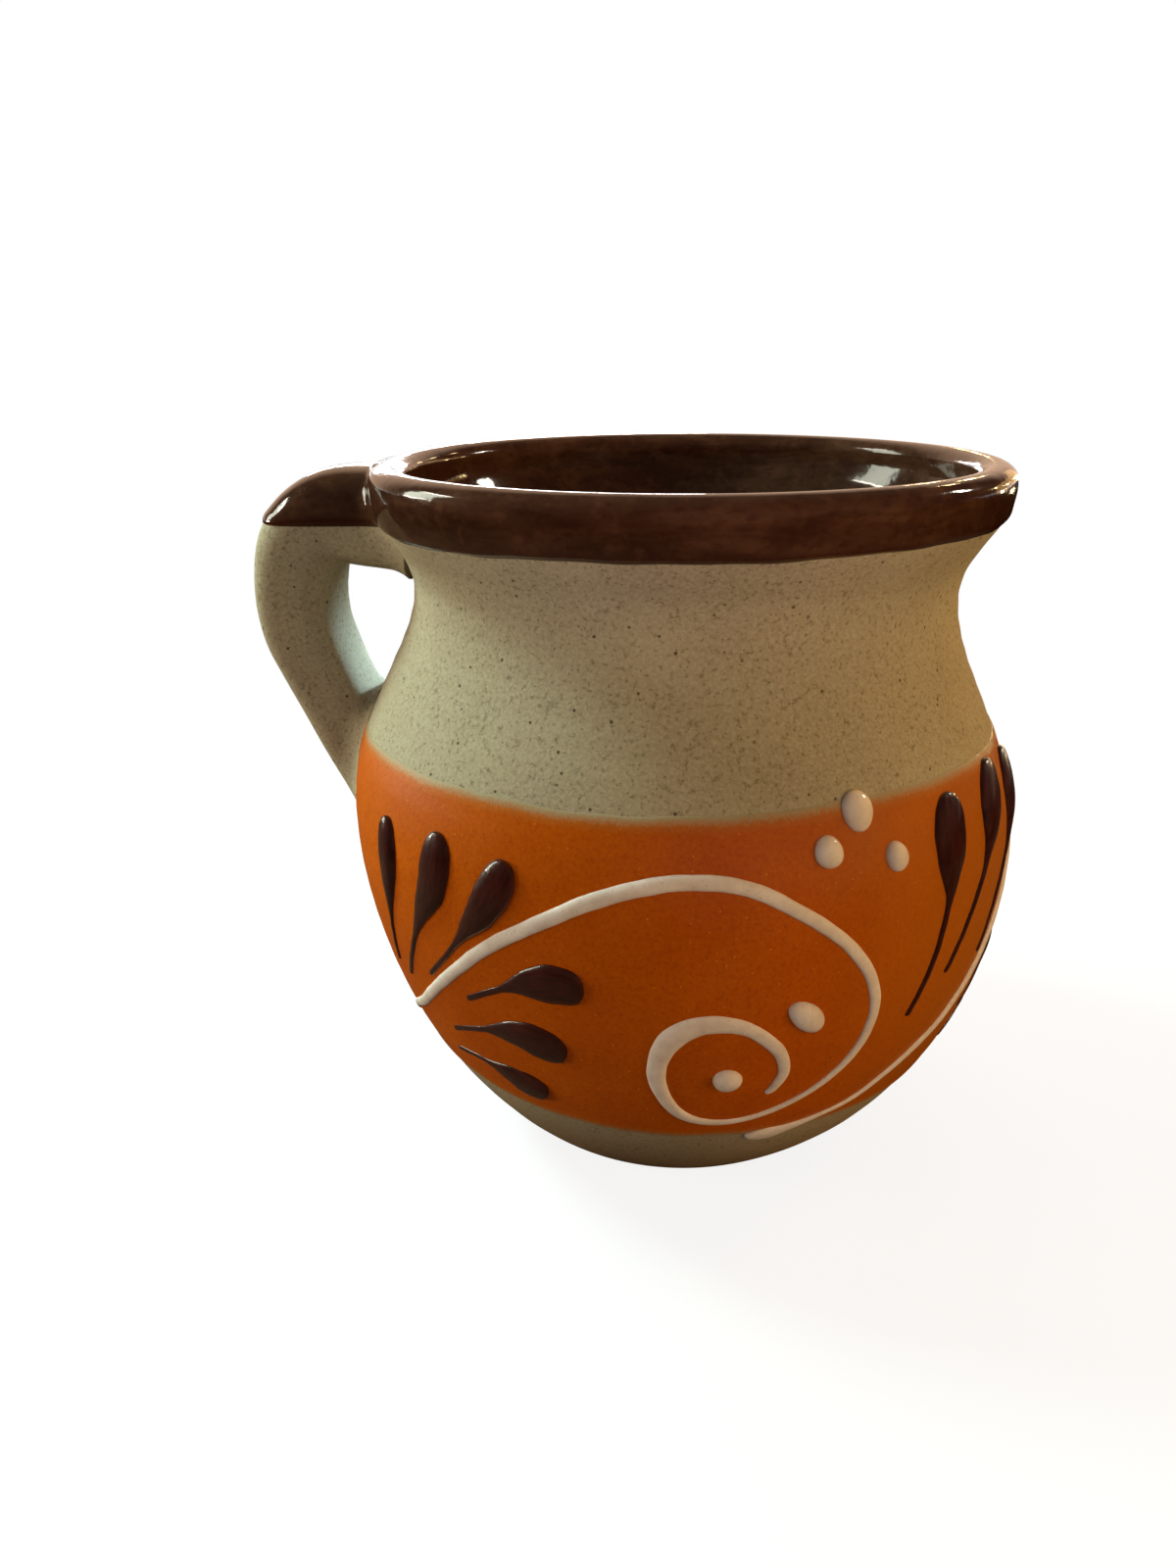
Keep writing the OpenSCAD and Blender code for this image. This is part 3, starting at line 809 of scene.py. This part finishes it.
def trail(places, widths, reliefs, shape, phase, round_end=True):
    """Rings of a trailed line over the wall, with its length and its reach across as values."""
    step = np.gradient(places, axis=0)
    angle = np.arctan2(step[:, 1] * rise_length(places[:, 1]), step[:, 0] * wall_r(places[:, 1]))
    length = np.concatenate([[0], np.cumsum(np.hypot(
        np.diff(places[:, 0]) * wall_r(places[1:, 1]),
        np.diff(places[:, 1]) * rise_length(places[1:, 1]),
    ))])
    flow = length / MM
    widths = widths * (1 + waves(flow, WIDTH_WAVES, phase))
    end = end_rounding(length, widths)
    if round_end:
        end = end * end_rounding(length[-1] - length, widths)
    widths = widths * end
    reliefs = reliefs * end
    wander = 1 + waves(flow, WANDER_WAVES, phase)
    across = np.cos(np.linspace(0, math.pi, DOME_POINTS))
    inset = np.array(HIDDEN_SHARES)
    rings = []
    for i, place in enumerate(places):
        sideways = angle[i] + math.pi / 2
        offset = widths[i] / 2 * across * np.where(across > 0, wander[i], 2 - wander[i])
        p = beside(place[None, :], sideways, offset)
        top = on_wall(p[:, 0], p[:, 1], BAND_T + reliefs[i] * dome(across, shape))
        q = beside(place[None, :], sideways, widths[i] / 2 * inset)
        low = on_wall(q[:, 0], q[:, 1], -UNDER)
        rings.append(np.vstack([top, low]))
    verts, faces = skin(
        rings, start=np.mean(rings[0], axis=0), end=np.mean(rings[-1], axis=0)
    )
    sides = np.concatenate([across, inset])
    flow_mm = np.concatenate([np.repeat(flow, len(sides)), [0, flow[-1]]])
    across_mm = np.concatenate([(sides * widths[:, None] / 2 / MM).ravel(), [0, 0]])
    return verts, faces, {"flow_mm": flow_mm, "across_mm": across_mm}


def make_scroll(m, material):
    t = np.linspace(0, 1, LINE_STEPS * (len(SCROLL_SHARES) - 1) + 1)
    line = through(SCROLL_SHARES, t)
    places = motif_place(m, line[:, :2])
    share = np.maximum(line[:, 2], LEAST_LINE_SHARE)
    verts, faces, values = trail(
        places, LINE_W * share, LINE_RELIEF * np.sqrt(share), LINE_DOME, SCROLL_PHASE * m
    )
    build(f"scroll_line_{m}", verts, faces, f"scroll_{m}", material, values)


def petal_width(t, swell):
    """The share of a petal's full width along it, from its tail to its round head."""
    body = PETAL_TAIL + (1 - PETAL_TAIL) * rise(t, swell, PETAL_WIDEST)
    over = (t - PETAL_WIDEST) / (1 - PETAL_WIDEST)
    head = np.sqrt(np.clip(1 - PETAL_HEAD_SHARE * over**2, 0, 1))
    return np.where(t < PETAL_WIDEST, body, head)


def make_petal(m, k, material):
    t = np.sin(np.linspace(0, math.pi / 2, PETAL_POINTS))
    high = m == HIGH_FAN and k <= len(HIGH_PETAL_SHARES)
    shares = HIGH_PETAL_SHARES if high else PETAL_SHARES
    places = motif_place(m, through(shares[k - 1], t))
    width = petal_width(t, HIGH_PETAL_SWELL if high else PETAL_SWELL)
    full = PETAL_W * (HIGH_PETAL_WIDTHS[k - 1] if high else PETAL_WIDTHS[k - 1])
    flat_tail = PETAL_TAIL_RELIEF + (1 - PETAL_TAIL_RELIEF) * rise(t, *PETAL_RELIEF_RUN)
    relief = PETAL_RELIEF * PETAL_RELIEFS[k - 1] * np.sqrt(width) * flat_tail
    phase = PETAL_PHASES[0] * k + PETAL_PHASES[1] * m
    verts, faces, values = trail(
        places, full * width, relief, PETAL_DOME, phase, round_end=False
    )
    build(f"petal_drop_{m}_{k}", verts, faces, f"petal_{m}_{k}", material, values)


def make_dot(m, k, material):
    place, shares, lean = DOT_SHARES[k - 1]
    centre = motif_place(m, place)
    a = 2 * math.pi * np.arange(DOT_SIDES) / DOT_SIDES
    lobe = 1 + waves(a, DOT_WAVES, DOT_PHASES[0] * k + DOT_PHASES[1] * m)
    along = DOT_W * shares[0] / 2 * np.cos(a) * lobe
    across = DOT_W * shares[1] / 2 * np.sin(a) * lobe
    reach = np.hypot(along, across)
    heading = math.radians(lean) + np.arctan2(across, along)
    rows = list(DOT_SKIRT)
    for up in np.radians(np.linspace(0, DOT_TOP_DEGREES, DOT_RINGS)):
        share = math.cos(up)
        rows.append((share, BAND_T + DOT_RELIEF * dome(share, DOT_DOME)))
    rings = []
    for share, lift in rows:
        p = beside(centre[None, :], heading, share * reach)
        rings.append(on_wall(p[:, 0], p[:, 1], lift))
    bottom = on_wall(centre[0], centre[1], -UNDER)
    top = on_wall(centre[0], centre[1], BAND_T + DOT_RELIEF)
    verts, faces = skin(rings, start=bottom, end=top)
    build(f"slip_dot_{m}_{k}", verts, faces, f"dot_{m}_{k}", material)


# Materials, whose noise scales are in cells per metre


def linear(colour):
    """A colour given in 0 to 255 as a screen shows it."""
    shares = [v / 255 for v in colour]
    return (*(v / 12.92 if v <= 0.04045 else ((v + 0.055) / 1.055) ** 2.4 for v in shares), 1)


class Nodes:
    """Short calls for the nodes of one tree."""

    def __init__(self, tree):
        self.tree = tree

    def add(self, kind, **settings):
        node = self.tree.nodes.new(kind)
        for key, value in settings.items():
            setattr(node, key, value)
        return node

    def link(self, source, target):
        """Links an output to a socket, or sets the socket to a plain value."""
        if hasattr(source, "is_output"):
            self.tree.links.new(source, target)
        else:
            target.default_value = source

    def math(self, operation, a, b=0.0):
        node = self.add("ShaderNodeMath", operation=operation)
        self.link(a, node.inputs[0])
        self.link(b, node.inputs[1])
        return node.outputs[0]

    def mix(self, factor, a, b):
        node = self.add("ShaderNodeMix", data_type="RGBA")
        self.link(factor, node.inputs[0])
        self.link(a, node.inputs[6])
        self.link(b, node.inputs[7])
        return node.outputs[2]

    def axis(self, place, name):
        apart = self.add("ShaderNodeSeparateXYZ")
        self.link(place, apart.inputs[0])
        return apart.outputs[name]

    def smooth_range(self, value, low, high):
        """0 at low, 1 at high, and smooth between."""
        node = self.add("ShaderNodeMapRange", interpolation_type="SMOOTHSTEP")
        self.link(low, node.inputs["From Min"])
        self.link(high, node.inputs["From Max"])
        self.link(value, node.inputs["Value"])
        return node.outputs[0]

    def fill(self, kind, **inputs):
        """The first output of a new node with these inputs."""
        node = self.add(kind)
        for key, value in inputs.items():
            self.link(value, node.inputs[key])
        return node.outputs[0]

    def blend(self, kind, *sources):
        """A shader node that takes its sources in order."""
        node = self.add(kind)
        for source, target in zip(sources, node.inputs):
            self.link(source, target)
        return node.outputs[0]


class Finish(Nodes):
    """A material with its shader, and short calls for what the finishes share."""

    def __init__(self, name):
        self.material = bpy.data.materials.new(name)
        self.material.use_nodes = True
        super().__init__(self.material.node_tree)
        self.surface = self.tree.nodes["Principled BSDF"]
        self.place = self.add("ShaderNodeTexCoord").outputs["Object"]

    def stretched(self, scale):
        return self.fill("ShaderNodeMapping", Vector=self.place, Scale=scale)

    def noise(self, scale, detail=3.0, rough=0.55, place=None, distortion=0.0):
        return self.fill(
            "ShaderNodeTexNoise", Vector=self.place if place is None else place, Scale=scale,
            Detail=detail, Roughness=rough, Distortion=distortion,
        )

    def spots(self, scale, size, share, strength, place=None):
        """A strength inside round spots of a size, in some cells only, and 0 elsewhere."""
        node = self.add("ShaderNodeTexVoronoi")
        self.link(self.place if place is None else place, node.inputs["Vector"])
        self.link(scale, node.inputs["Scale"])
        inside = self.ramp(node.outputs["Distance"], [(size * SPOT_CORE, 1), (size, 0)])
        apart = self.add("ShaderNodeSeparateColor")
        self.link(node.outputs["Color"], apart.inputs[0])
        chosen = self.ramp(apart.outputs[0], [(1 - share, 0), (1 - share + SPOT_BLEND, 1)])
        return self.math("MULTIPLY", self.math("MULTIPLY", inside, chosen), strength)

    def ramp(self, value, stops):
        """A value mapped through stops of (position, grey or colour)."""
        node = self.add("ShaderNodeValToRGB")
        self.link(value, node.inputs[0])
        marks = node.color_ramp.elements
        while len(marks) < len(stops):
            marks.new(0.5)
        for mark, (position, colour) in zip(marks, stops):
            mark.position = position
            grey = (colour, colour, colour, 1)
            mark.color = grey if isinstance(colour, (int, float)) else linear(colour)
        return node.outputs[0]

    def tint(self, base, factor, colour):
        return self.mix(factor, base, linear(colour))

    def value(self, name):
        return self.add("ShaderNodeAttribute", attribute_name=name).outputs["Fac"]

    def bump(self, height, distance, strength, below=None):
        under = {} if below is None else {"Normal": below}
        return self.fill(
            "ShaderNodeBump", Height=height, Distance=distance, Strength=strength, **under
        )

    def set(self, **inputs):
        for key, value in inputs.items():
            self.link(value, self.surface.inputs[key.replace("_", " ")])


def clay_finish():
    f = Finish("clay")
    base = f.ramp(f.noise(55, 2), [(0.3, CLAY_DARK), (0.7, CLAY_PALE)])
    sand = f.ramp(f.noise(2600, 2, 0.6), [(0.38, 0.0), (0.68, 0.4)])
    base = f.tint(base, sand, CLAY_SAND)
    dust = f.ramp(f.noise(1700, 2, 0.6), [(0.54, 0.0), (0.72, 0.6)])
    base = f.tint(base, dust, CLAY_DUST)
    # Painted shade: the clay darkens towards the foot
    height = f.math("MULTIPLY", f.axis(f.place, "Z"), 1 / FOOT_SHADE_Z)
    base = f.tint(base, f.ramp(height, [(0.0, 0.85), (1.0, 0.0)]), CLAY_FOOT_SHADE)
    base = f.tint(base, f.spots(1000, 0.15, 0.6, 0.6), CLAY_SPOT)
    base = f.tint(base, f.spots(540, 0.14, 0.5, 0.85), CLAY_FLECK)
    scuffs = f.spots(75, 0.05, 0.2, 0.5, f.stretched((1, 1.6, 0.45)))
    base = f.tint(base, scuffs, CLAY_SCUFF)
    lines = f.noise(900, 3, 0.6, f.stretched((0.08, 0.08, 1)))
    normal = f.bump(lines, 0.05 * MM, 0.4)
    normal = f.bump(f.noise(1500, 3, 0.6), 0.12 * MM, 0.55, normal)
    normal = f.bump(f.noise(4200, 2, 0.7), 0.07 * MM, 0.55, normal)
    f.set(Base_Color=base, Roughness=0.88, Normal=normal, Specular_IOR_Level=0.25)
    return f.material


def glaze_finish():
    f = Finish("brown_glaze")
    strokes = f.noise(75, 3, 0.55, f.stretched((1, 1, 4)), 0.8)
    base = f.ramp(strokes, [(0.3, GLAZE_DARK), (0.52, GLAZE_MEAN), (0.76, GLAZE_PALE)])
    mottle = f.ramp(f.noise(420, 3, 0.6), [(0.5, 0.0), (0.72, 0.35)])
    base = f.tint(base, mottle, GLAZE_MOTTLE)
    pools = f.noise(700, 3, 0.5, f.stretched((1, 1, 2)))
    base = f.tint(base, f.ramp(pools, [(0.48, 0.0), (0.75, 0.5)]), GLAZE_POOL)
    centimetres = f.math("MULTIPLY", f.value("edge_mm"), 0.1)
    rim = f.ramp(centimetres, [(0.0, 0.85), (0.06, 0.6), (0.14, 0.0)])
    base = f.tint(base, rim, GLAZE_RIM)
    ripple = f.noise(260, 2, 0.5, f.stretched((1, 1, 1.6)))
    normal = f.bump(ripple, 0.2 * MM, 0.35)
    normal = f.bump(f.noise(1500, 2, 0.5), 0.02 * MM, 0.4, normal)
    f.set(Base_Color=base, Roughness=0.1, Normal=normal, IOR=1.5)
    return f.material


def orange_finish():
    """Dry slip, with painted warm light that makes it yellower at the mug's +X side, and thin
    over the clay at its edges.
    """
    f = Finish("orange_slip")
    base = f.ramp(f.noise(70, 3), [(0.3, ORANGE_DARK), (0.7, ORANGE_PALE)])
    grain = f.noise(1900, 3, 0.65)
    base = f.tint(base, f.ramp(grain, [(0.3, 0.5), (0.5, 0.0)]), ORANGE_SHADE)
    base = f.tint(base, f.ramp(grain, [(0.56, 0.0), (0.78, 0.4)]), ORANGE_LIGHT)
    base = f.tint(base, f.spots(1000, 0.14, 0.3, 0.5), ORANGE_SPOT)
    base = f.tint(base, f.spots(520, 0.11, 0.16, 0.8), ORANGE_FLECK)
    # Painted warm light: the band turns yellower towards +X
    across = f.math("MULTIPLY", f.axis(f.place, "X"), 1 / ORANGE_LIT_SIDE_X)
    base = f.tint(base, f.ramp(across, [(0.3, 0.0), (0.9, 0.85)]), ORANGE_LIT_SIDE)
    speckle = f.math("MULTIPLY", f.noise(2600, 3, 0.7), -0.6)
    cover = f.math("ADD", f.math("MULTIPLY", f.value("edge_mm"), 0.4), speckle)
    cover = f.math("ADD", cover, 0.35)
    base = f.tint(base, f.ramp(cover, [(0.4, 0.5), (1.0, 0.0)]), ORANGE_THIN)
    base = f.tint(base, f.ramp(cover, [(0.08, 1.0), (0.5, 0.0)]), ORANGE_WORN)
    normal = f.bump(f.noise(1300, 2, 0.6), 0.08 * MM, 0.4)
    normal = f.bump(f.noise(3600, 2, 0.7), 0.05 * MM, 0.45, normal)
    rough = f.ramp(f.noise(1200, 2), [(0.3, 0.38), (0.7, 0.5)])
    f.set(Base_Color=base, Roughness=rough, Normal=normal, Specular_IOR_Level=0.15)
    return f.material


def white_finish(name, gloss):
    """Cream slip. The thin lines dried nearly matt, and the thick dots are glassy."""
    f = Finish(name)
    base = f.ramp(f.noise(420, 3), [(0.3, WHITE_DARK), (0.7, WHITE_PALE)])
    grain = f.ramp(f.noise(2400, 2, 0.6), [(0.58, 0.0), (0.8, 0.5)])
    base = f.tint(base, grain, WHITE_GRAIN)
    normal = f.bump(f.noise(1300, 3, 0.6), 0.08 * MM, 0.4)
    f.set(Base_Color=base, Roughness=0.5, Normal=normal, Coat_Weight=gloss, Coat_Roughness=0.07)
    return f.material


def dark_finish():
    f = Finish("dark_slip")
    join = f.add("ShaderNodeCombineXYZ")
    f.link(f.math("MULTIPLY", f.value("flow_mm"), 0.25), join.inputs[0])
    f.link(f.math("MULTIPLY", f.value("across_mm"), 2.0), join.inputs[1])
    streak = f.noise(1.0, 3, 0.6, join.outputs[0])
    base = f.ramp(streak, [(0.35, DARK_DEEP), (0.7, DARK_PALE)])
    patch = f.ramp(f.noise(500, 2), [(0.45, 0.0), (0.75, 0.5)])
    base = f.tint(base, patch, DARK_PATCH)
    normal = f.bump(streak, 0.2 * MM, 0.4)
    normal = f.bump(f.noise(900, 2), 0.06 * MM, 0.5, normal)
    f.set(Base_Color=base, Roughness=0.32, Normal=normal, Coat_Weight=0.7, Coat_Roughness=0.08)
    return f.material


# Camera, light and floor


def add_item(name, data):
    item = bpy.data.objects.new(name, data)
    bpy.context.scene.collection.objects.link(item)
    return item


def make_camera():
    """A phone's main lens close to the mug, a little above it."""
    yaw, pitch, roll = (math.radians(v) for v in (CAMERA_YAW, CAMERA_PITCH, CAMERA_ROLL))
    ahead = Vector((math.sin(yaw), math.cos(yaw), 0))
    right = Vector((math.cos(yaw), -math.sin(yaw), 0))
    up = Vector((0, 0, 1))
    forward = math.cos(pitch) * ahead - math.sin(pitch) * up
    over = math.sin(pitch) * ahead + math.cos(pitch) * up
    side = math.cos(roll) * right + math.sin(roll) * over
    over = -math.sin(roll) * right + math.cos(roll) * over
    data = bpy.data.cameras.new("camera")
    data.sensor_fit = "AUTO"
    data.sensor_width = CAMERA_SENSOR
    data.lens = CAMERA_LENS
    data.clip_start, data.clip_end = CAMERA_CLIP
    camera = add_item("camera", data)
    turn = Matrix((side, over, -forward)).transposed()
    camera.matrix_world = Matrix.Translation(CAMERA_PLACE) @ turn.to_4x4()
    bpy.context.scene.camera = camera


def face(item, place, target):
    item.location = place
    item.rotation_euler = (Vector(target) - Vector(place)).to_track_quat("-Z", "Y").to_euler()


def seen_from_lip(turn, up, away):
    turn, up = math.radians(turn), math.radians(up)
    return (
        away * math.sin(turn) * math.cos(up),
        away * math.cos(turn) * math.cos(up),
        LIP_MIDDLE_Z + away * math.sin(up),
    )


def lamp(name, place, size, watts, colour, mirrored):
    """A lamp that lights the mug, or one that only its gloss shows."""
    data = bpy.data.lights.new(name, "AREA")
    data.shape = "RECTANGLE"
    data.size, data.size_y = size
    data.energy = watts
    data.color = colour
    item = add_item(name, data)
    face(item, seen_from_lip(*place), (0, 0, MUG_MIDDLE_Z))
    item.visible_glossy = mirrored
    item.visible_diffuse = not mirrored


def beam(name, place, target, watts, colour, cone):
    """A narrow beam on one place of the mug."""
    data = bpy.data.lights.new(name, "SPOT")
    data.energy = watts
    data.color = colour
    data.spot_size = math.radians(cone)
    data.spot_blend = BEAM_BLEND
    data.shadow_soft_size = BEAM_SOFTNESS
    item = add_item(name, data)
    face(item, place, target)
    item.visible_glossy = False


def make_lamps():
    """A cool window on the left, a warm room on the right, and what the glaze mirrors of them."""
    for row in LIGHTS:
        lamp(*row, mirrored=False)
    for row in BEAMS:
        beam(*row)
    for row in MIRRORED:
        lamp(*row, mirrored=True)
    for i, (turn, up, wide, tall, watts) in enumerate(GLINTS):
        colour = WIDE_GLINT_COLOUR if wide > WIDE_GLINT else GLINT_COLOUR
        lamp(f"glint_{i}", (turn, up, GLINT_AWAY), (wide, tall), watts, colour, mirrored=True)


def make_world():
    """White for the camera, and for gloss white behind the mug in a dim warm room."""
    world = bpy.data.worlds.new("studio")
    world.use_nodes = True
    world.node_tree.nodes.clear()
    n = Nodes(world.node_tree)
    ray = n.add("ShaderNodeLightPath").outputs
    place = n.add("ShaderNodeTexCoord").outputs["Generated"]
    toward = n.add("ShaderNodeVectorMath", operation="DOT_PRODUCT")
    n.link(place, toward.inputs[0])
    n.link(WALL_WAY, toward.inputs[1])
    across = toward.outputs["Value"]
    wall = n.mix(n.smooth_range(across, *WALL_RANGE), ROOM_COLOUR, WALL_COLOUR)
    low = n.math(
        "MULTIPLY",
        n.smooth_range(across, *WALL_WHITE_RANGE),
        n.smooth_range(n.axis(place, "Z"), *WALL_WHITE_Z),
    )
    seen = n.mix(ray["Is Camera Ray"], n.mix(low, wall, WHITE), WHITE)
    shown = n.fill("ShaderNodeBackground", Color=seen)
    soft = n.fill("ShaderNodeBackground", Color=SOFT_COLOUR, Strength=SOFT_STRENGTH)
    mirrors = n.math("MAXIMUM", ray["Is Glossy Ray"], ray["Is Transmission Ray"])
    direct = n.math("MAXIMUM", ray["Is Camera Ray"], mirrors)
    output = n.add("ShaderNodeOutputWorld")
    n.link(n.blend("ShaderNodeMixShader", direct, soft, shown), output.inputs["Surface"])
    bpy.context.scene.world = world


def floor_finish():
    """Pale where the camera sees it, and dim near the mug in the gloss."""
    material = bpy.data.materials.new("pale_floor")
    material.use_nodes = True
    material.node_tree.nodes.clear()
    n = Nodes(material.node_tree)
    ray = n.add("ShaderNodeLightPath").outputs
    place = n.add("ShaderNodeTexCoord").outputs["Object"]
    far = n.add("ShaderNodeVectorMath", operation="LENGTH")
    n.link(place, far.inputs[0])
    away = n.smooth_range(far.outputs["Value"], *FLOOR_AWAY)
    behind = n.smooth_range(n.axis(place, "Y"), *FLOOR_BEHIND_Y)
    grown = n.math("MULTIPLY", away, 1 - FLOOR_NEAR_LEVEL)
    to_camera = n.math("MULTIPLY", n.math("ADD", grown, FLOOR_NEAR_LEVEL), ray["Is Camera Ray"])
    mirrors = n.math("MAXIMUM", ray["Is Glossy Ray"], ray["Is Transmission Ray"])
    level = n.math("ADD", to_camera, n.math("MULTIPLY", behind, mirrors))
    glow = n.fill("ShaderNodeEmission", Strength=level)
    tone = n.mix(ray["Is Camera Ray"], FLOOR_GLOSS_COLOUR, FLOOR_COLOUR)
    lit = n.blend("ShaderNodeAddShader", n.fill("ShaderNodeBsdfDiffuse", Color=tone), glow)
    output = n.add("ShaderNodeOutputMaterial")
    n.link(n.blend("ShaderNodeMixShader", away, lit, glow), output.inputs["Surface"])
    return material


def make_floor():
    mesh = bpy.data.meshes.new("floor")
    half = FLOOR_HALF
    mesh.from_pydata(
        [(-half, -half, 0), (half, -half, 0), (half, half, 0), (-half, half, 0)],
        [],
        [(0, 1, 2, 3)],
    )
    mesh.materials.append(floor_finish())
    floor = add_item("floor", mesh)
    floor.location.z = -FLOOR_DROP


def main():
    clay = clay_finish()
    glaze = glaze_finish()
    orange = orange_finish()
    white = white_finish("white_slip", 0.12)
    glassy_white = white_finish("glassy_white_slip", 0.8)
    dark = dark_finish()
    make_camera()
    make_pot(clay)
    rings = fitted_strap()
    make_handle(rings, clay)
    make_rim_glaze(glaze)
    make_handle_glaze(rings, glaze)
    make_band(orange)
    for m in range(1, MOTIFS + 1):
        make_scroll(m, white)
        for k in range(1, len(PETAL_SHARES) + 1):
            make_petal(m, k, dark)
        for k in range(1, len(DOT_SHARES) + 1):
            make_dot(m, k, glassy_white)
    make_lamps()
    make_world()
    make_floor()
    bpy.context.scene.view_settings.view_transform = "Standard"


main()
